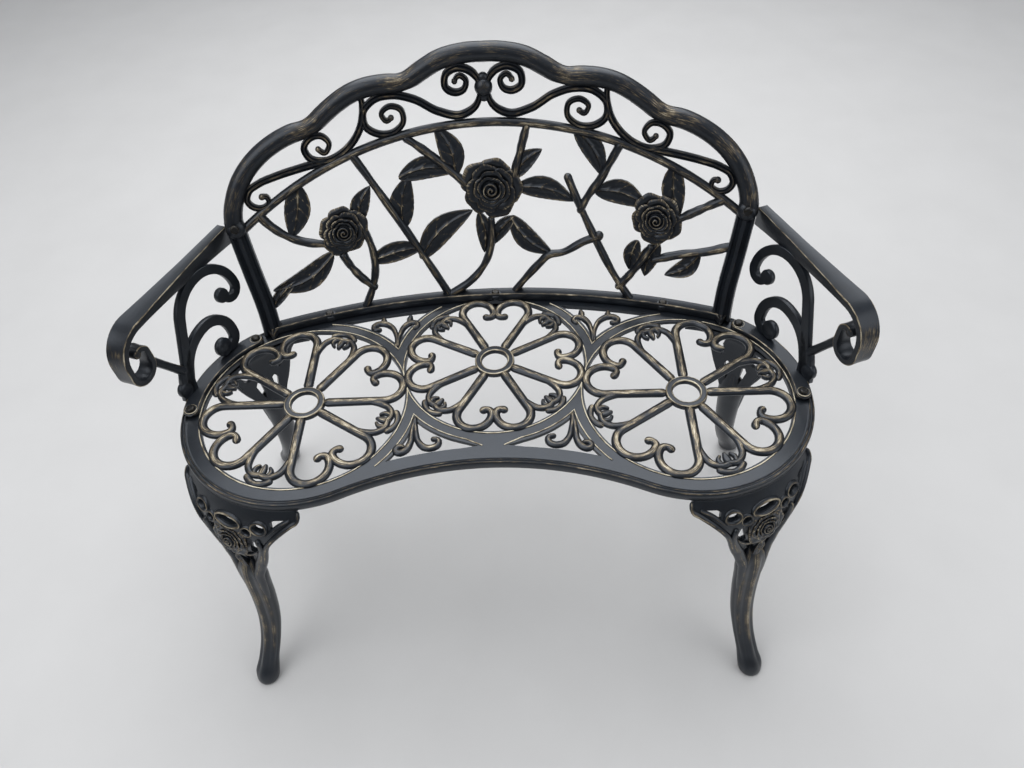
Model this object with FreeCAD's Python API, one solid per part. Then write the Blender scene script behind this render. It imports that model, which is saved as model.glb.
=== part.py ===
import FreeCAD, Part
import math
import os

V = FreeCAD.Vector
UP = V(0, 0, 1)

# Cast aluminium two-seat garden bench, all sizes in millimetres, angles in degrees.
# Built about the middle medallion of the seat: X to the right, Y to the back, Z up from the ground.

# Seat plan: three round medallions in a kidney-shaped frame
SEAT_HEIGHT = 410.0
HUB_X = 277.0
HUB_FORWARD = 73.5
SIDE_RING = 147.0
MID_RING = 134.5
RIM_BAND = 30.0
SEAT_REAR = 152.0
SEAT_FRONT = 190.0
RING_BAND = 22.5
EDGE_BAND = 29.0
FRONT_BRIDGE = 50.0

# Seat casting section
PLATE = 8.0
RIM_DEPTH = 14.0
RIM_WALL = 13.0
RIM_ROUND = 4.0
GROOVE_INSET = 8.5
GROOVE_WIDTH = 2.0
GROOVE_DEPTH = 1.2

# Medallion tracery: hub ring, paired spokes, heart curls and tendrils
HUB_RING = 30.0
HUB_HOLE = 19.5
HEART_HALF = 28.0
SPOKE_WIDTH = 12.0
CURL_WIDTH = 8.0
TENDRIL_WIDTH = 6.0
MID_TWIST = 0.0
SIDE_TWIST = 28.5

# Back rest: a leaning sheet whose plan radius opens out towards the top
BACK_LEAN = 13.86
BACK_FOOT_Y = 151.0
BACK_FOOT_RADIUS = 840.0
BACK_TOP_RADIUS = 1520.0
BACK_HEIGHT = 366.0
WEB = 9.0
POST_DEPTH = 16.0
RAIL_DIAMETER = 25.0
POST_WIDTH = 26.0
INNER_RAIL_WIDTH = 12.0
INNER_RAIL_RISE = 268.0
SCROLL_WIDTH = 7.5
STEM_WIDTH = 11.0
APEX_RISE = 359.0
NOTCH_1 = (111.0, 326.0)
NOTCH_2 = (253.0, 280.0)
SHOULDER = (376.0, 166.0)
POST_FOOT = (353.0, 0.0)
POST_BOSS = 30.0
RAIL_FLANGE = 8.0
RAIL_OVERHANG = 4.0
RAIL_REACH = 18.0
RAIL_RIDGE = 4.0

# Arms: a bar that rolls into a scroll, carried on two C-scrolls and a foot flange
ARM_HEIGHT = 160.0
ARM_BACK = (398.0, 135.0)
ARM_SPLAY = 20.0
ARM_LENGTH = 211.5
ARM_THICK = 10.0
ARM_HEEL = 32.0
ARM_WIDTH_BACK = 21.0
ARM_WIDTH = 32.0
ARM_WIDTH_FRONT = 27.0
ARM_BEND = 44.0
ARM_CURL = 19.5
ARM_FLANGE = 7.0
ARM_FLANGE_WIDTH = 22.0
ARM_FLANGE_ANGLES = (-4.5, 52.5)
ARM_SCROLL_WIDTH = 13.0
ARM_SCROLL_PLATE = 9.0
ARM_SCROLL_YAW = 24.8
ARM_SCROLL_TILT = 8.6
BALL_RADIUS = 10.0

# Legs: a bulged, pierced bracket under the rim, a rose on the knee and a cabriole shank
LEG_ANGLES = (-64.0, 51.0)
LEG_SPREAD = 31.0
LEG_BOLT_ANGLE = 25.0
LEG_FLANGE = 7.0
LEG_FLANGE_REACH = 27.0
LEG_WALL = 8.0
LEG_APRON = 26.0
LEG_LOW = 262.0
LEG_HOLE = 8.0
KNEE_REACH = 200.0
KNEE_HEIGHT = 340.0
KNEE_ROSE = 20.0
TOE_REACH = 268.0

# Fasteners
BOLT = 6.0
HOLE_CLEARANCE = 0.6
HEAD_DIAMETER = 13.0
HEAD_HEIGHT = 4.5
HEAD_ROUND = 3.2
WASHER_DIAMETER = 16.0
WASHER_THICK = 1.5
NUT_FLATS = 10.0
NUT_HEIGHT = 5.0
NUT_CLEARANCE = 0.1
BOLT_TAIL = 3.0
BOLT_INSET = 10.0
RAIL_BOLT_X = 266.0
SCREW_DEPTH = 9.0
SCREW_TIP_GAP = 1.0

LOBE = SIDE_RING + RIM_BAND
RIM_MID = LOBE - RIM_BAND / 2
RIM_BOTTOM = SEAT_HEIGHT - RIM_DEPTH
HOLE_RADIUS = (BOLT + HOLE_CLEARANCE) / 2


# Flat drawing tools

def trail(x, y, heading, steps):
    """Wire of lines (length, 0) and tangent arcs (radius, turn), from one point and heading."""
    edges = []
    angle = math.radians(heading)
    here = V(x, y, 0)
    for size, turn in steps:
        if turn == 0:
            there = here + V(math.cos(angle), math.sin(angle), 0) * size
            edges.append(Part.LineSegment(here, there).toShape())
        else:
            arm = V(-math.sin(angle), math.cos(angle), 0) * math.copysign(size, turn)
            spin = FreeCAD.Rotation(UP, turn)
            half_spin = FreeCAD.Rotation(UP, turn / 2)
            centre = here + arm
            there = centre - spin.multVec(arm)
            edges.append(Part.Arc(here, centre - half_spin.multVec(arm), there).toShape())
            angle += math.radians(turn)
        here = there
    return Part.Wire(edges)


def ribbon(wire, width):
    """Flat strip of one width along an open wire, with round ends."""
    return Part.Face(wire.makeOffset2D(width / 2, 0, False, False))


def bow(start, middle, end):
    """Flat arc through three points."""
    return Part.Wire([Part.Arc(V(*start, 0), V(*middle, 0), V(*end, 0)).toShape()])


def bar(start, end, width):
    """Flat straight strip between two points, with square ends."""
    along = V(end[0] - start[0], end[1] - start[1], 0)
    side = V(-along.y, along.x, 0).normalize() * (width / 2)
    first, last = V(*start, 0), V(*end, 0)
    corners = [first + side, first - side, last - side, last + side]
    return Part.Face(Part.makePolygon(corners + corners[:1]))


def disc(x, y, radius):
    return Part.Face(Part.Wire([Part.Circle(V(x, y, 0), UP, radius).toShape()]))


def polygon(points):
    corners = [V(x, y, 0) for x, y in points]
    return Part.Face(Part.makePolygon(corners + corners[:1]))


def cast_flat(faces, depth):
    """One solid of a depth, from the ground up, out of overlapping flat faces."""
    return one_solid([face.extrude(UP * depth) for face in faces])


def turned(shape, degrees, x=0.0, y=0.0):
    copy = shape.copy()
    copy.rotate(V(x, y, 0), UP, degrees)
    return copy


def mirrored(shape):
    return shape.mirror(V(0, 0, 0), V(1, 0, 0))


def both(shapes):
    return shapes + [mirrored(shape) for shape in shapes]


def moved(shape, x, y, z):
    copy = shape.copy()
    copy.translate(V(x, y, z))
    return copy


def one_solid(pieces):
    """Fuse pieces of one casting and return its single solid."""
    whole = pieces[0].multiFuse(pieces[1:]).removeSplitter() if len(pieces) > 1 else pieces[0]
    return max(whole.Solids, key=lambda solid: solid.Volume)


def polar(radius, degrees):
    return radius * math.cos(math.radians(degrees)), radius * math.sin(math.radians(degrees))


# Seat frame outline: two lobes joined by a convex rear arc and a concave front arc, all tangent

def tangent_centre(edge_y, side):
    """Y of the centre of the arc that touches both lobes and passes edge_y on the middle line."""
    offset = edge_y - side * LOBE
    return (offset ** 2 - HUB_X ** 2 - HUB_FORWARD ** 2) / (2 * (offset + HUB_FORWARD))


REAR_CENTRE = tangent_centre(SEAT_REAR, 1)
FRONT_CENTRE = tangent_centre(-SEAT_FRONT, -1)


def seat_outline(inset):
    """Closed outline of the seat, moved inwards by inset."""
    hub = V(HUB_X, -HUB_FORWARD, 0)
    lobe = LOBE - inset
    rear = V(0, REAR_CENTRE, 0)
    front = V(0, FRONT_CENTRE, 0)
    rear_radius = SEAT_REAR - REAR_CENTRE - inset
    front_radius = -SEAT_FRONT - FRONT_CENTRE + inset
    rear_way = (hub - rear).normalize()
    front_way = (front - hub).normalize()
    rear_end = hub + rear_way * lobe
    front_end = hub + front_way * lobe
    outer = hub + V(lobe, 0, 0)
    arcs = [
        Part.Arc(front_end, outer, rear_end),
        Part.Arc(rear_end, rear + V(0, rear_radius, 0), V(-rear_end.x, rear_end.y, 0)),
        Part.Arc(V(-rear_end.x, rear_end.y, 0), V(-outer.x, outer.y, 0), V(-front_end.x, front_end.y, 0)),
        Part.Arc(V(-front_end.x, front_end.y, 0), front + V(0, front_radius, 0), front_end),
    ]
    return Part.Wire([arc.toShape() for arc in arcs])


def seat_face(inset):
    return Part.Face(seat_outline(inset))


def rear_edge(x, inset):
    """Y of the seat's rear edge at x."""
    radius = SEAT_REAR - REAR_CENTRE - inset
    return REAR_CENTRE + math.sqrt(radius ** 2 - x ** 2)


# Seat tracery

def heart_sector(ring):
    """Flat bars of one wide sector of a medallion, on the X axis: two spokes, two curls, two tendrils."""
    scale = ring / MID_RING
    hub_grip = (HUB_RING + HUB_HOLE) / 2
    spoke = bar(polar(hub_grip, HEART_HALF), polar(100.0 * scale, HEART_HALF), SPOKE_WIDTH)
    curl_start = polar(88.0 * scale, HEART_HALF)
    curl = trail(*curl_start, HEART_HALF, [(18.5 * scale, 0), (24.0 * scale, -118), (26.0 * scale, -90),
                                           (9.0 * scale, -130)])
    tendril_start = polar(98.0 * scale, HEART_HALF)
    tendril = trail(*tendril_start, HEART_HALF - 8.0, [(23.0 * scale, 105), (9.0 * scale, 165)])
    half = [spoke, ribbon(curl, CURL_WIDTH), ribbon(tendril, TENDRIL_WIDTH)]
    flip = [shape.mirror(V(0, 0, 0), V(0, 1, 0)) for shape in half]
    return half + flip


def medallion(ring, twist, x, y):
    """Flat bars of a whole medallion round (x, y)."""
    hub = disc(0, 0, HUB_RING).cut(disc(0, 0, HUB_HOLE))
    bars = [hub]
    for quarter in range(4):
        bars += [turned(shape, twist + 90.0 * quarter) for shape in heart_sector(ring)]
    return [moved(shape, x, y, 0) for shape in bars]


def spandrel_sprays():
    """Small two-leaf sprays in the corners between the medallions, right-hand side."""
    front = (HUB_X * 0.405, -HUB_FORWARD * 1.5)
    rear = (HUB_X * 0.575, HUB_FORWARD * 0.6)
    sprays = []
    for (x, y), heading in ((front, -98.0), (rear, 96.0)):
        for side in (1, -1):
            leaf = trail(x, y, heading + side * 12.0, [(24.0, 0), (13.0, side * 120), (7.0, side * 110)])
            sprays.append(ribbon(leaf, TENDRIL_WIDTH))
    return sprays


def leg_bolt_points(angle):
    """Plan points of one right-hand leg's two screws."""
    points = []
    for side in (-1, 1):
        x, y = polar(RIM_MID, angle + side * LEG_BOLT_ANGLE)
        points.append((HUB_X + x, y - HUB_FORWARD))
    return points


def arm_bolt_points():
    points = []
    for angle in ARM_FLANGE_ANGLES:
        x, y = polar(RIM_MID, angle)
        points.append((HUB_X + x, y - HUB_FORWARD))
    return points


def mirror_points(points):
    return points + [(-x, y) for x, y in points]


def rail_bolt_points():
    return [(x, rear_edge(x, BOLT_INSET)) for x in (-RAIL_BOLT_X, 0.0, RAIL_BOLT_X)]


def post_of(points, radius, low, high):
    """Round posts standing on plan points, from height low to height high."""
    return [Part.makeCylinder(radius, high - low, V(x, y, low)) for x, y in points]


def seat_casting():
    hub_y = -HUB_FORWARD
    openings = [disc(0, 0, MID_RING), disc(HUB_X, hub_y, SIDE_RING), disc(-HUB_X, hub_y, SIDE_RING)]
    kept = [disc(0, 0, MID_RING + RING_BAND), disc(HUB_X, hub_y, SIDE_RING + RING_BAND),
            disc(-HUB_X, hub_y, SIDE_RING + RING_BAND), bar((0, 0), (0, -SEAT_FRONT), FRONT_BRIDGE)]
    spandrels = seat_face(EDGE_BAND).cut(kept)
    frame = seat_face(RIM_WALL / 2).cut(openings + spandrels.Faces)
    bars = medallion(MID_RING, MID_TWIST, 0, 0)
    right = medallion(SIDE_RING, 180.0 - SIDE_TWIST, HUB_X, hub_y) + spandrel_sprays()
    plate = moved(cast_flat(frame.Faces + bars + both(right), PLATE), 0, 0, SEAT_HEIGHT - PLATE)
    rim = moved(seat_face(0).extrude(V(0, 0, -RIM_DEPTH)), 0, 0, SEAT_HEIGHT)
    crest = [edge for edge in rim.Edges if edge.BoundBox.ZMin > SEAT_HEIGHT - 0.01]
    rim = rim.makeFillet(RIM_ROUND, crest)
    hollow = moved(seat_face(RIM_WALL).extrude(UP * (2 * RIM_DEPTH)), 0, 0, SEAT_HEIGHT - 1.5 * RIM_DEPTH)
    groove = seat_face(GROOVE_INSET).cut(seat_face(GROOVE_INSET + GROOVE_WIDTH))
    groove = moved(groove.extrude(UP * GROOVE_DEPTH), 0, 0, SEAT_HEIGHT - GROOVE_DEPTH)
    legs = []
    for angle in LEG_ANGLES:
        legs += leg_bolt_points(angle)
    legs = mirror_points(legs)
    arm_front, arm_rear = arm_bolt_points()
    through = mirror_points([arm_front]) + rail_bolt_points()
    bossed = legs + through + mirror_points([arm_rear])
    bosses = post_of(bossed, WASHER_DIAMETER / 2 + 0.5, RIM_BOTTOM, SEAT_HEIGHT - PLATE / 2)
    whole = one_solid([rim.cut(hollow), plate] + bosses)
    holes = post_of(through, HOLE_RADIUS, RIM_BOTTOM - 1.0, SEAT_HEIGHT + 1.0)
    blind = post_of(legs, HOLE_RADIUS, RIM_BOTTOM - 1.0, RIM_BOTTOM + SCREW_DEPTH)
    blind += post_of(mirror_points([arm_rear]), HOLE_RADIUS, SEAT_HEIGHT - SCREW_DEPTH, SEAT_HEIGHT + 1.0)
    return one_solid([whole.cut(holes + blind + [groove])])


# Back rest surface

def back_y(x, rise):
    """Y of the middle of the back sheet at x and at a rise above the seat."""
    radius = BACK_FOOT_RADIUS + (BACK_TOP_RADIUS - BACK_FOOT_RADIUS) * rise / BACK_HEIGHT
    lean = math.tan(math.radians(BACK_LEAN)) * rise
    return BACK_FOOT_Y + lean - (radius - math.sqrt(radius ** 2 - x ** 2))


def on_back(x, rise):
    return V(x, back_y(x, rise), SEAT_HEIGHT + rise)


def back_normal(x, rise):
    """Unit vector out of the front of the back sheet."""
    across = on_back(x + 1, rise) - on_back(x - 1, rise)
    along = on_back(x, rise + 1) - on_back(x, rise - 1)
    return across.cross(along).normalize()


def back_sheet(depth, half_width):
    """Curved leaning slab of the back, from the seat top to above the rail."""
    bands = []
    for rise in (0.0, BACK_HEIGHT + RAIL_DIAMETER):
        lines = []
        for shift in (-depth / 2, depth / 2):
            ends = [on_back(x, rise) + V(0, shift, 0) for x in (-half_width, 0.0, half_width)]
            lines.append(ends)
        front, rear = lines
        bands.append(Part.Wire([
            Part.Arc(*front).toShape(),
            Part.LineSegment(front[2], rear[2]).toShape(),
            Part.Arc(rear[2], rear[1], rear[0]).toShape(),
            Part.LineSegment(rear[0], front[0]).toShape(),
        ]))
    return Part.makeLoft(bands, True, True)


def stand_up(faces, depth):
    """Prism of a drawing of the back, stood upright and run right through the sheet."""
    prism = cast_flat(faces, 2 * depth)
    prism.rotate(V(0, 0, 0), V(1, 0, 0), 90)
    prism.translate(V(0, BACK_FOOT_Y + depth, SEAT_HEIGHT))
    return prism


# Back drawing: x and rise above the seat

def leaf(base, tip, width):
    """Pointed oval from base to tip."""
    along = V(tip[0] - base[0], tip[1] - base[1], 0)
    side = V(-along.y, along.x, 0).normalize() * (width / 2)
    start, end = V(*base, 0), V(*tip, 0)
    middle = start + along * 0.45
    return Part.Face(Part.Wire([Part.Arc(start, middle + side, end).toShape(),
                                Part.Arc(end, middle - side, start).toShape()]))


STEMS = [
    ((-338, 172), (-305, 135), (-250, 114)), ((-232, 92), (-217, 62), (-193, 34)),
    ((-203, 140), (-187, 90), (-211, 0)), ((-196, 234), (-134, 120), (-76, 0)),
    ((-116, 250), (-74, 219), (-36, 182)), ((0, 125), (-19, 46), (-76, 0)),
    ((38, 190), (47, 222), (59, 260)), ((160, 94), (92, 67), (32, 0)),
    ((117, 185), (154, 92), (217, 0)), ((143, 138), (165, 178), (191, 234)),
    ((280, 136), (308, 153), (338, 170)), ((244, 90), (224, 56), (198, 22)),
    ((354, 105), (310, 93), (260, 72)),
]
LEAVES = [
    ((-280, 208), (-302, 132), 34), ((-246, 98), (-342, 62), 32), ((-350, 36), (-306, 70), 15),
    ((-203, 138), (-178, 190), 25), ((-136, 122), (-119, 200), 35), ((-134, 198), (-46, 200), 29),
    ((-50, 192), (-74, 266), 33), ((-116, 70), (-28, 140), 36), ((-192, 76), (-106, 88), 27),
    ((-18, 136), (-14, 72), 22), ((34, 128), (0, 84), 20), ((36, 188), (80, 228), 24),
    ((40, 174), (128, 153), 29), ((30, 128), (94, 68), 30), ((128, 258), (170, 190), 28),
    ((158, 170), (236, 150), 32), ((270, 214), (281, 138), 30), ((228, 104), (212, 48), 19),
    ((252, 102), (230, 40), 24), ((318, 88), (267, 44), 22),
]
ROSES = [(-226, 131, 36), (3, 174, 44), (250, 135, 37)]
BUD = (166.0, 102.0, 6.0)


def inner_rail():
    """Arc rail from post to post under the top scrolls."""
    end_x = SHOULDER[0] - POST_WIDTH / 4
    end_rise = SHOULDER[1] - POST_WIDTH / 4
    return bow((-end_x, end_rise), (0.0, INNER_RAIL_RISE), (end_x, end_rise))


def top_scrolls():
    """Right-hand scrolls between the inner rail and the top rail."""
    centre_curl = trail(7.0, INNER_RAIL_RISE + 58.0, 70.0, [(24.0, -125), (17.0, -150), (9.5, -160)])
    s_scroll = trail(7.0, INNER_RAIL_RISE + 36.0, -80.0, [(30.0, 100), (80.0, 0), (60.0, -20), (25.5, -90),
                                                         (22.5, -90), (22.0, -90), (12.0, -180), (6.0, -110)])
    hook = trail(173.0, INNER_RAIL_RISE + 41.0, -86.0, [(20.0, 0), (60.0, 71), (8.0, 0), (22.0, 105),
                                                       (18.0, 90), (13.0, 90), (9.5, 180), (5.0, 110)])
    corner = trail(236.0, INNER_RAIL_RISE - 39.0, 2.0, [(230.0, -18), (26.0, 0), (15.0, -140), (9.5, -150)])
    return [ribbon(wire, SCROLL_WIDTH) for wire in (centre_curl, s_scroll, hook, corner)]


def back_drawing():
    """Flat drawing of the open work of the back."""
    knob = disc(0, INNER_RAIL_RISE + 47.0, 13.0)
    stems = [ribbon(bow(*stem), STEM_WIDTH) for stem in STEMS]
    leaves = [leaf(*shape) for shape in LEAVES]
    grounds = [disc(x, rise, radius * 0.8) for x, rise, radius in ROSES]
    rail = ribbon(inner_rail(), INNER_RAIL_WIDTH)
    return [rail, knob, disc(*BUD)] + stems + leaves + grounds + both(top_scrolls())


def flower(radius, height):
    """Layered rose on the Z axis: rings of round petals that climb to a bud."""
    layers = []
    for level, (share, rise) in enumerate(((1.0, 0.4), (0.72, 0.7), (0.45, 1.0))):
        ring = radius * share
        petals = [disc(*polar(ring * 0.56, 72.0 * k + 36.0 * level), ring * 0.46) for k in range(5)]
        layers.append(cast_flat([disc(0, 0, ring * 0.6)] + petals, height * rise))
    return one_solid(layers)


def aimed(shape, place, way):
    """Copy of a shape made on the Z axis, put at place and turned to face way."""
    copy = shape.copy()
    copy.Placement = FreeCAD.Placement(place, FreeCAD.Rotation(UP, way))
    return copy


def rail_lobe(start, middle, end):
    """Round bar along one lobe of the top rail."""
    arc = Part.Arc(on_back(*start), on_back(*middle), on_back(*end)).toShape()
    way = arc.tangentAt(arc.FirstParameter)
    section = Part.Face(Part.Wire([Part.Circle(on_back(*start), way, RAIL_DIAMETER / 2).toShape()]))
    sweep = math.degrees(arc.LastParameter - arc.FirstParameter)
    return section.revolve(arc.Curve.Center, arc.Curve.Axis, sweep)


def top_rail():
    """Five-lobed rail, with a knuckle in each notch."""
    left_1, left_2 = (-NOTCH_1[0], NOTCH_1[1]), (-NOTCH_2[0], NOTCH_2[1])
    lobe_2 = ((NOTCH_1[0] + NOTCH_2[0]) / 2 + 4.0, (NOTCH_1[1] + NOTCH_2[1]) / 2 + 17.0)
    lobe_3 = ((NOTCH_2[0] + SHOULDER[0]) / 2 + 27.0, (NOTCH_2[1] + SHOULDER[1]) / 2 + 22.0)
    right = [rail_lobe(NOTCH_1, lobe_2, NOTCH_2), rail_lobe(NOTCH_2, lobe_3, SHOULDER)]
    knuckles = [Part.makeSphere(RAIL_DIAMETER / 2 + 0.6, on_back(*notch))
                for notch in (NOTCH_1, NOTCH_2, SHOULDER)]
    return [rail_lobe(left_1, (0.0, APEX_RISE), NOTCH_1)] + both(right + knuckles)


def foot_rail():
    """Flange along the rear rim of the seat, with a raised lip, bolt bosses and a tongue under each post."""
    limit = POST_FOOT[0] + POST_WIDTH / 4
    window = polygon([(-limit, HUB_FORWARD / 2), (limit, HUB_FORWARD / 2), (limit, 2 * SEAT_REAR),
                      (-limit, 2 * SEAT_REAR)])
    strip = seat_face(-RAIL_OVERHANG).cut(seat_face(RAIL_REACH)).common(window)
    lip = seat_face(RAIL_REACH - RAIL_RIDGE).cut(seat_face(RAIL_REACH)).common(window)
    bosses = [disc(x, y, WASHER_DIAMETER / 2 + 2.0) for x, y in rail_bolt_points()]
    pieces = [moved(cast_flat(strip.Faces + bosses, RAIL_FLANGE), 0, 0, SEAT_HEIGHT)]
    for face in lip.Faces:
        pieces.append(moved(face.extrude(UP * (RAIL_FLANGE + RAIL_RIDGE)), 0, 0, SEAT_HEIGHT))
    clear = post_of(rail_bolt_points(), WASHER_DIAMETER / 2 + 1.0, SEAT_HEIGHT + RAIL_FLANGE,
                    SEAT_HEIGHT + 3 * RAIL_FLANGE)
    return one_solid(pieces).cut(clear)


def arm_bolt_axis():
    """Point on the right-hand post and direction of the bolt that holds the arm."""
    return on_back(*SHOULDER), back_normal(*SHOULDER)


def back_casting():
    reach = BACK_FOOT_RADIUS / 2
    web = stand_up(back_drawing(), BACK_HEIGHT).common(back_sheet(WEB, reach))
    post = bar(SHOULDER, POST_FOOT, POST_WIDTH)
    posts = [stand_up([face], BACK_HEIGHT).common(back_sheet(POST_DEPTH, reach)) for face in both([post])]
    blooms = []
    for x, rise, radius in ROSES:
        way = back_normal(x, rise)
        blooms.append(aimed(flower(radius, WEB * 1.7), on_back(x, rise), way))
    knob = Part.makeSphere(WEB * 1.35, on_back(0, INNER_RAIL_RISE + 47.0))
    place, way = arm_bolt_axis()
    seat = aimed(Part.makeCylinder(HEAD_DIAMETER / 2 + 3.0, POST_BOSS), place - way * (POST_BOSS / 2), way)
    whole = one_solid(web.Solids + posts + top_rail() + blooms + [knob] + both([seat]))
    whole = one_solid([whole, foot_rail()])
    hole = aimed(Part.makeCylinder(HOLE_RADIUS, 2 * POST_BOSS), place - way * POST_BOSS, way)
    holes = post_of(rail_bolt_points(), HOLE_RADIUS, SEAT_HEIGHT - 1.0, SEAT_HEIGHT + 3 * RAIL_FLANGE)
    return one_solid([whole.cut(holes + both([hole]))])


# Arms

def arm_frame():
    """Placement of the drawing of the bar: X forward along the arm, Y up, Z outwards."""
    forward = V(*polar(1.0, ARM_SPLAY - 90.0), 0)
    turn = FreeCAD.Rotation(forward, UP, forward.cross(UP), "XYZ")
    return FreeCAD.Placement(V(*ARM_BACK, SEAT_HEIGHT + ARM_HEIGHT), turn)


def arm_bar():
    """Bar with a deep heel at the post and a scroll at the front, tapered in plan."""
    scroll = [(ARM_LENGTH, 0), (ARM_BEND, -90), (18.0, 0), (ARM_CURL, -180), (16.0, 0), (9.0, -130)]
    strip = ribbon(trail(0, 0, 0, scroll), ARM_THICK)
    heel = polygon([(0, ARM_THICK / 2), (ARM_LENGTH, ARM_THICK / 2), (ARM_LENGTH, -ARM_THICK / 2),
                    (0, ARM_THICK / 2 - ARM_HEEL)])
    roll_x, roll_y = scroll_end(scroll)
    drawing = [strip, heel, disc(roll_x, roll_y, ARM_THICK * 0.7)]
    solid = moved(cast_flat(drawing, 2 * ARM_WIDTH), 0, 0, -ARM_WIDTH)
    side = [(-ARM_WIDTH, ARM_WIDTH_BACK / 2), (0, ARM_WIDTH_BACK / 2), (ARM_LENGTH, ARM_WIDTH / 2),
            (ARM_LENGTH * 1.4, ARM_WIDTH_FRONT / 2)]
    plan = polygon(side + [(x, -y) for x, y in reversed(side)])
    plan.rotate(V(0, 0, 0), V(1, 0, 0), 90)
    depth = ARM_LENGTH
    solid = solid.common(moved(plan, 0, depth, 0).extrude(V(0, -2 * depth, 0)))
    solid.Placement = arm_frame()
    return solid


def scroll_end(steps):
    """End point of a trail that starts at the origin along X."""
    point = trail(0, 0, 0, steps).OrderedVertexes[-1].Point
    return point.x, point.y


def scroll_frame():
    """Placement of the drawing of the C-scrolls: X to the rear along the rim, Y up and a little outwards."""
    rearward = V(*polar(1.0, 90.0 + ARM_SCROLL_YAW), 0)
    outward = V(*polar(1.0, ARM_SCROLL_YAW), 0)
    tilt = math.radians(ARM_SCROLL_TILT)
    upward = UP * math.cos(tilt) + outward * math.sin(tilt)
    turn = FreeCAD.Rotation(rearward, upward, rearward.cross(upward), "XYZ")
    rim_x, rim_y = polar(RIM_MID, ARM_SCROLL_YAW)
    return FreeCAD.Placement(V(HUB_X + rim_x, rim_y - HUB_FORWARD, SEAT_HEIGHT), turn)


def arm_scrolls():
    """Flat casting of two C-scrolls on one foot."""
    lower = trail(-54.0, 8.0, 60.0, [(36.6, 0), (66.6, -60), (37.0, -90), (6.0, 0), (15.0, -150)])
    upper = trail(-57.0, 4.0, 64.0, [(111.8, 0), (66.7, -64), (51.0, -90), (15.0, -175)])
    shapes = []
    for wire, button in ((lower, ARM_SCROLL_WIDTH), (upper, BALL_RADIUS)):
        end = wire.OrderedVertexes[-1].Point
        shapes += [ribbon(wire, ARM_SCROLL_WIDTH), disc(end.x, end.y, button)]
    foot = [disc(-57.0, 17.0, ARM_SCROLL_WIDTH), polygon([(-70, 0), (-42, 0), (-30, 48), (-50, 40)])]
    solid = moved(cast_flat(shapes + foot, ARM_SCROLL_PLATE), 0, 0, -ARM_SCROLL_PLATE / 2)
    solid.Placement = scroll_frame()
    return solid


def arm_flange():
    """Foot flange that follows the rim of the seat between the arm's two bolts."""
    front, rear = ARM_FLANGE_ANGLES
    ends = [V(*polar(RIM_MID, angle), 0) for angle in (front, (front + rear) / 2, rear)]
    strip = ribbon(Part.Wire([Part.Arc(*ends).toShape()]), ARM_FLANGE_WIDTH)
    return moved(strip.extrude(UP * ARM_FLANGE), HUB_X, -HUB_FORWARD, SEAT_HEIGHT)


def arm_link():
    """Short round bar from the scroll to the C-scrolls."""
    start = arm_frame().multVec(V(ARM_LENGTH + ARM_BEND - 2 * ARM_CURL, -66.0, 0))
    end = scroll_frame().multVec(V(-45.0, 43.0, 0))
    return Part.makeCylinder(ARM_THICK / 2, (end - start).Length, start, end - start)


def arm_tab():
    """Lug behind the post that takes the arm bolt."""
    place, way = arm_bolt_axis()
    start = place - way * (POST_BOSS / 2)
    ring = Part.makeCylinder(HEAD_DIAMETER / 2 + 3.0, ARM_SCROLL_PLATE)
    eye = aimed(ring, start - way * ARM_SCROLL_PLATE, way)
    heel = arm_frame().multVec(V(ARM_WIDTH_BACK / 2, -ARM_HEEL / 4, 0))
    neck_start = start - way * (ARM_SCROLL_PLATE / 2)
    along = heel - neck_start
    neck = Part.makeCylinder(ARM_SCROLL_PLATE / 2 - 0.4, along.Length, neck_start, along)
    return [eye, neck]


def arm_casting():
    """Right-hand arm."""
    place, way = arm_bolt_axis()
    whole = one_solid([arm_bar(), arm_scrolls(), arm_flange(), arm_link()] + arm_tab())
    hole = aimed(Part.makeCylinder(HOLE_RADIUS, 3 * POST_BOSS), place - way * (2 * POST_BOSS), way)
    holes = post_of(arm_bolt_points(), HOLE_RADIUS, SEAT_HEIGHT - 1.0, SEAT_HEIGHT + 2 * ARM_FLANGE)
    return one_solid([whole.cut(holes + [hole])])


# Legs: drawn with X outwards from the hub of the lobe, Z up

def leg_section(reach, height, width, depth):
    """Ridged section of the shank: flat behind, with two flutes beside a front rib."""
    corners = [(-0.5, 0.36), (-0.5, -0.36), (0.0, -0.5), (0.34, -0.36), (0.3, -0.18), (0.5, 0.0), (0.3, 0.18),
               (0.34, 0.36), (0.0, 0.5)]
    points = [V(reach + depth * a, width * b, height) for a, b in corners]
    return Part.makePolygon(points + points[:1])


def leg_shank():
    """Cabriole shank from the knee to the toe."""
    stem = KNEE_REACH - 4.0
    sweep = TOE_REACH - stem
    sections = [
        leg_section(stem + 1.0, KNEE_HEIGHT - 22.0, 44.0, 16.0),
        leg_section(stem, 290.0, 45.0, 27.0),
        leg_section(stem, 248.0, 42.0, 32.0),
        leg_section(stem + sweep * 0.04, 208.0, 38.0, 32.0),
        leg_section(stem + sweep * 0.10, 168.0, 35.0, 31.0),
        leg_section(stem + sweep * 0.25, 112.0, 31.0, 29.0),
        leg_section(stem + sweep * 0.48, 70.0, 29.0, 28.0),
        leg_section(stem + sweep * 0.76, 36.0, 31.0, 31.0),
        leg_section(TOE_REACH - 4.0, 14.0, 38.0, 36.0),
        leg_section(TOE_REACH, 0.0, 32.0, 32.0),
    ]
    return Part.makeLoft(sections, True, False)


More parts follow.
